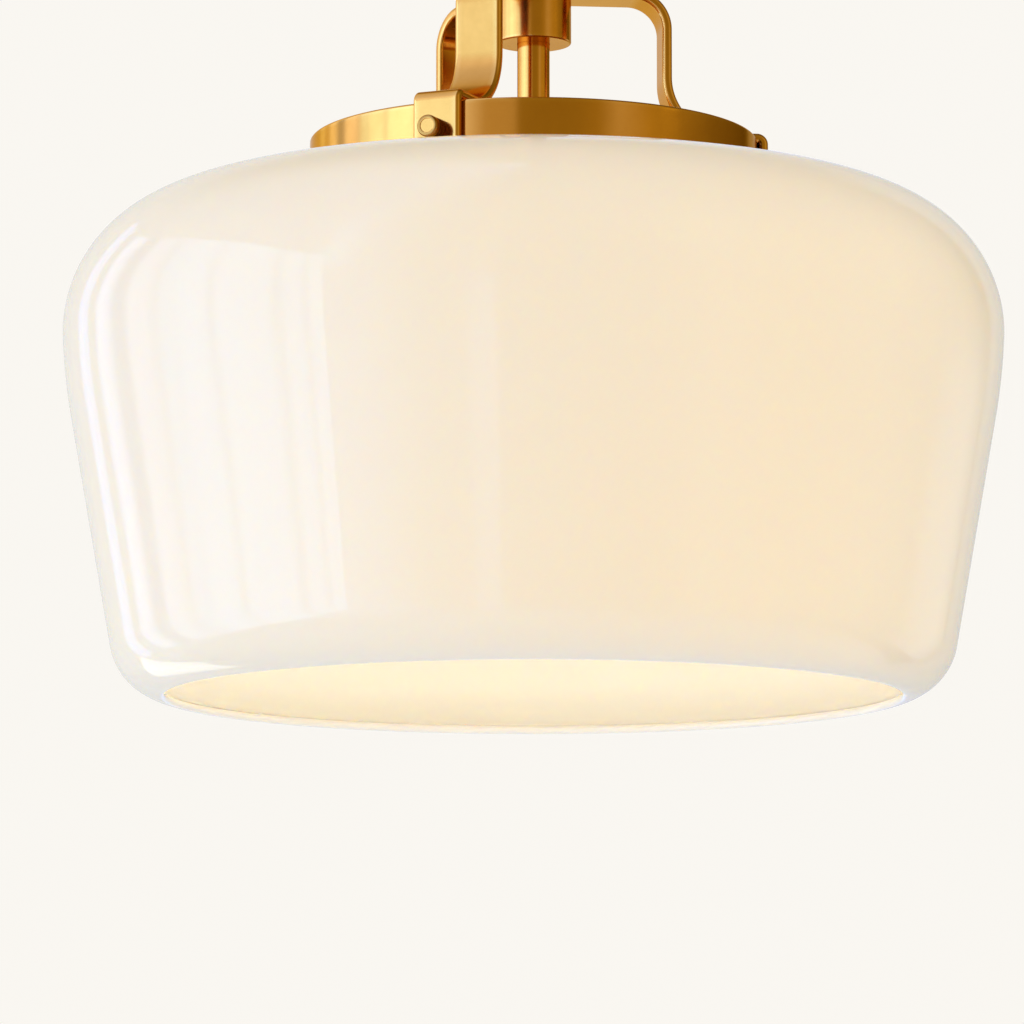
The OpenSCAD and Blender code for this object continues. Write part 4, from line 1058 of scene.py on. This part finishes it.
def capThread(b):
    a, z = evenAngles(b["capAround"]), np.linspace(b["thread"][-1], b["thread"][0], b["threadRows"])
    phase = 2 * np.pi * z / b["pitch"] - np.radians(a)[:, None]
    crest = np.interp(z, b["thread"], [0, 1, 1, 0]) * 0.5 * (1 + np.cos(phase))
    return {"grid": aroundAxis(a, b["cap"] - b["depth"] * (1 - crest), z), "marks": {"edge": crest},
            "wrap": (True, False), "caps": (-1,)}


def bulbGlassOutline(b):
    r, neck, bend, top = b["radius"], b["neck"], b["neckEnd"], b["glassFrom"]
    ball = r - b["length"]
    # the flare is a straight line from the neck, which touches the ball at the angle touch
    flare = math.acos(r / math.hypot(neck, bend - ball))
    touch = math.degrees(math.atan2(bend - ball, neck) - flare)
    end = arcPoints((0, ball), r, touch, -90, 40)
    end[-1, 0] = 0
    start, _ = roundedOutline([(neck, top, 0), (neck, bend, b["neckBend"]), (*end[0], 0)], 8)
    outline = np.vstack([[0, top], start[:-1], end])
    return outline, np.zeros(len(outline))


def bulbs(cap, insulator, brass, frost):
    b = bulb
    shoulder, cone, button = (
        turned(roundedOutline(b[key], 5), b[count], False)
        for key, count in (("shoulder", "capAround"), ("cone", "coneAround"), ("button", "buttonAround")))
    thread, glass = capThread(b), turned(bulbGlassOutline(b), b["around"], False)
    for i, angle in enumerate(lamp["socketAngles"], 1):
        place = {"shift": (socket["circle"], 0, lamp["plate"] + b["top"]), "turn": angle}
        body = f"bulb_{i}"
        makePiece(f"bulbCap{i}", [moved(thread, **place), moved(shoulder, **place)], body,
                  cap, [f"bulb_base_{i}"], sharpFrom=50)
        makePiece(f"bulbInsulator{i}", [moved(cone, **place)], body, insulator)
        makePiece(f"bulbContact{i}", [moved(button, **place)], body, brass)
        makePiece(f"bulbGlass{i}", [moved(glass, **place)], body, frost,
                  [f"bulb_glass_{i}"], sharpFrom=50)


# The soft ring lies between the fitter plate and the glass
gasket = {"bore": 97.6, "radius": 107.4, "low": -449.0, "high": -445.8, "around": 128,
          "rounds": (0.8, 0.8, 0.6, 0.6)}


def gasketRing(finish):
    g = gasket
    ring = ringOutline(g["bore"], g["radius"], g["low"], g["high"], g["rounds"], 4)
    makePiece("gasketRing", [turned(ring, g["around"])], "pendant", finish,
              ["shade_gasket"])


# Solids that only get eased edges and a finish: brass ones, then steel ones, each with its easing
easedSolids = (
    (0.35, ("swivel_yoke", "swivel_tongue", "swivel_pin")),
    (0.25, ("crossbar", "canopy_studs", "crossbar_nipple", "swivel_retainer", "stem_nipple",
            "arm_screws", "socket_screws")),
)


def smallSolids(brass, steel, finishes):
    for finish, (ease, names) in zip((brass, steel), easedSolids):
        for name in names:
            dressNode(name, finish, ease)
    for name, finish in finishes.items():
        dressNode(name, finish)


print("camera and studio")
makeCamera(cameraView)
makeWorld(studio)
makeFloor(paleFloor)
for name, row in reflectors.items():
    makeReflector(name, *row)
for name, row in lamps.items():
    makeLamp(name, *row)
makeGlow(mouthGlow)

print("finishes")
brass = brassFinish("agedBrass", agedBrass)
opal = opalFinish("opalGlass", opalGlass)
zinc = zincFinish()

print("glass and fitter")
glassShade(opal)
fitterCap(brass)
strapArms(brass)
hubBody(brassFinish("satinBrass", {**agedBrass, "roughness": 0.17}))
stemTubes(brass)
thumbScrews(brass, nylonFinish())
gasketRing(rubberFinish())

print("canopy and swivel")
canopyShell(brass)
nuts(zinc)
wireNuts(wireNutFinish())

print("sockets and bulbs")
socketPan(enamelFinish())
bright = brightBrassFinish()
sockets(porcelainFinish(), bright)
bulbs(bulbCapFinish(), blackGlassFinish(), bright, frostedFinish("frostedGlass", frostedGlass))

print("small solids")
black = insulationFinish("blackInsulation", (0.02, 0.02, 0.021), (0.03, 0.03, 0.03))
white = insulationFinish("whiteInsulation", (0.80, 0.79, 0.75), (0.74, 0.73, 0.68))
green = insulationFinish("greenInsulation", (0.03, 0.24, 0.07), (0.04, 0.30, 0.10))
smallSolids(brass, zinc, {
    "line_lead": black, "neutral_lead": white, "ground_lead": green, "stem_leads": black,
    "socket_leads": white, "ground_screw": greenFinish()})
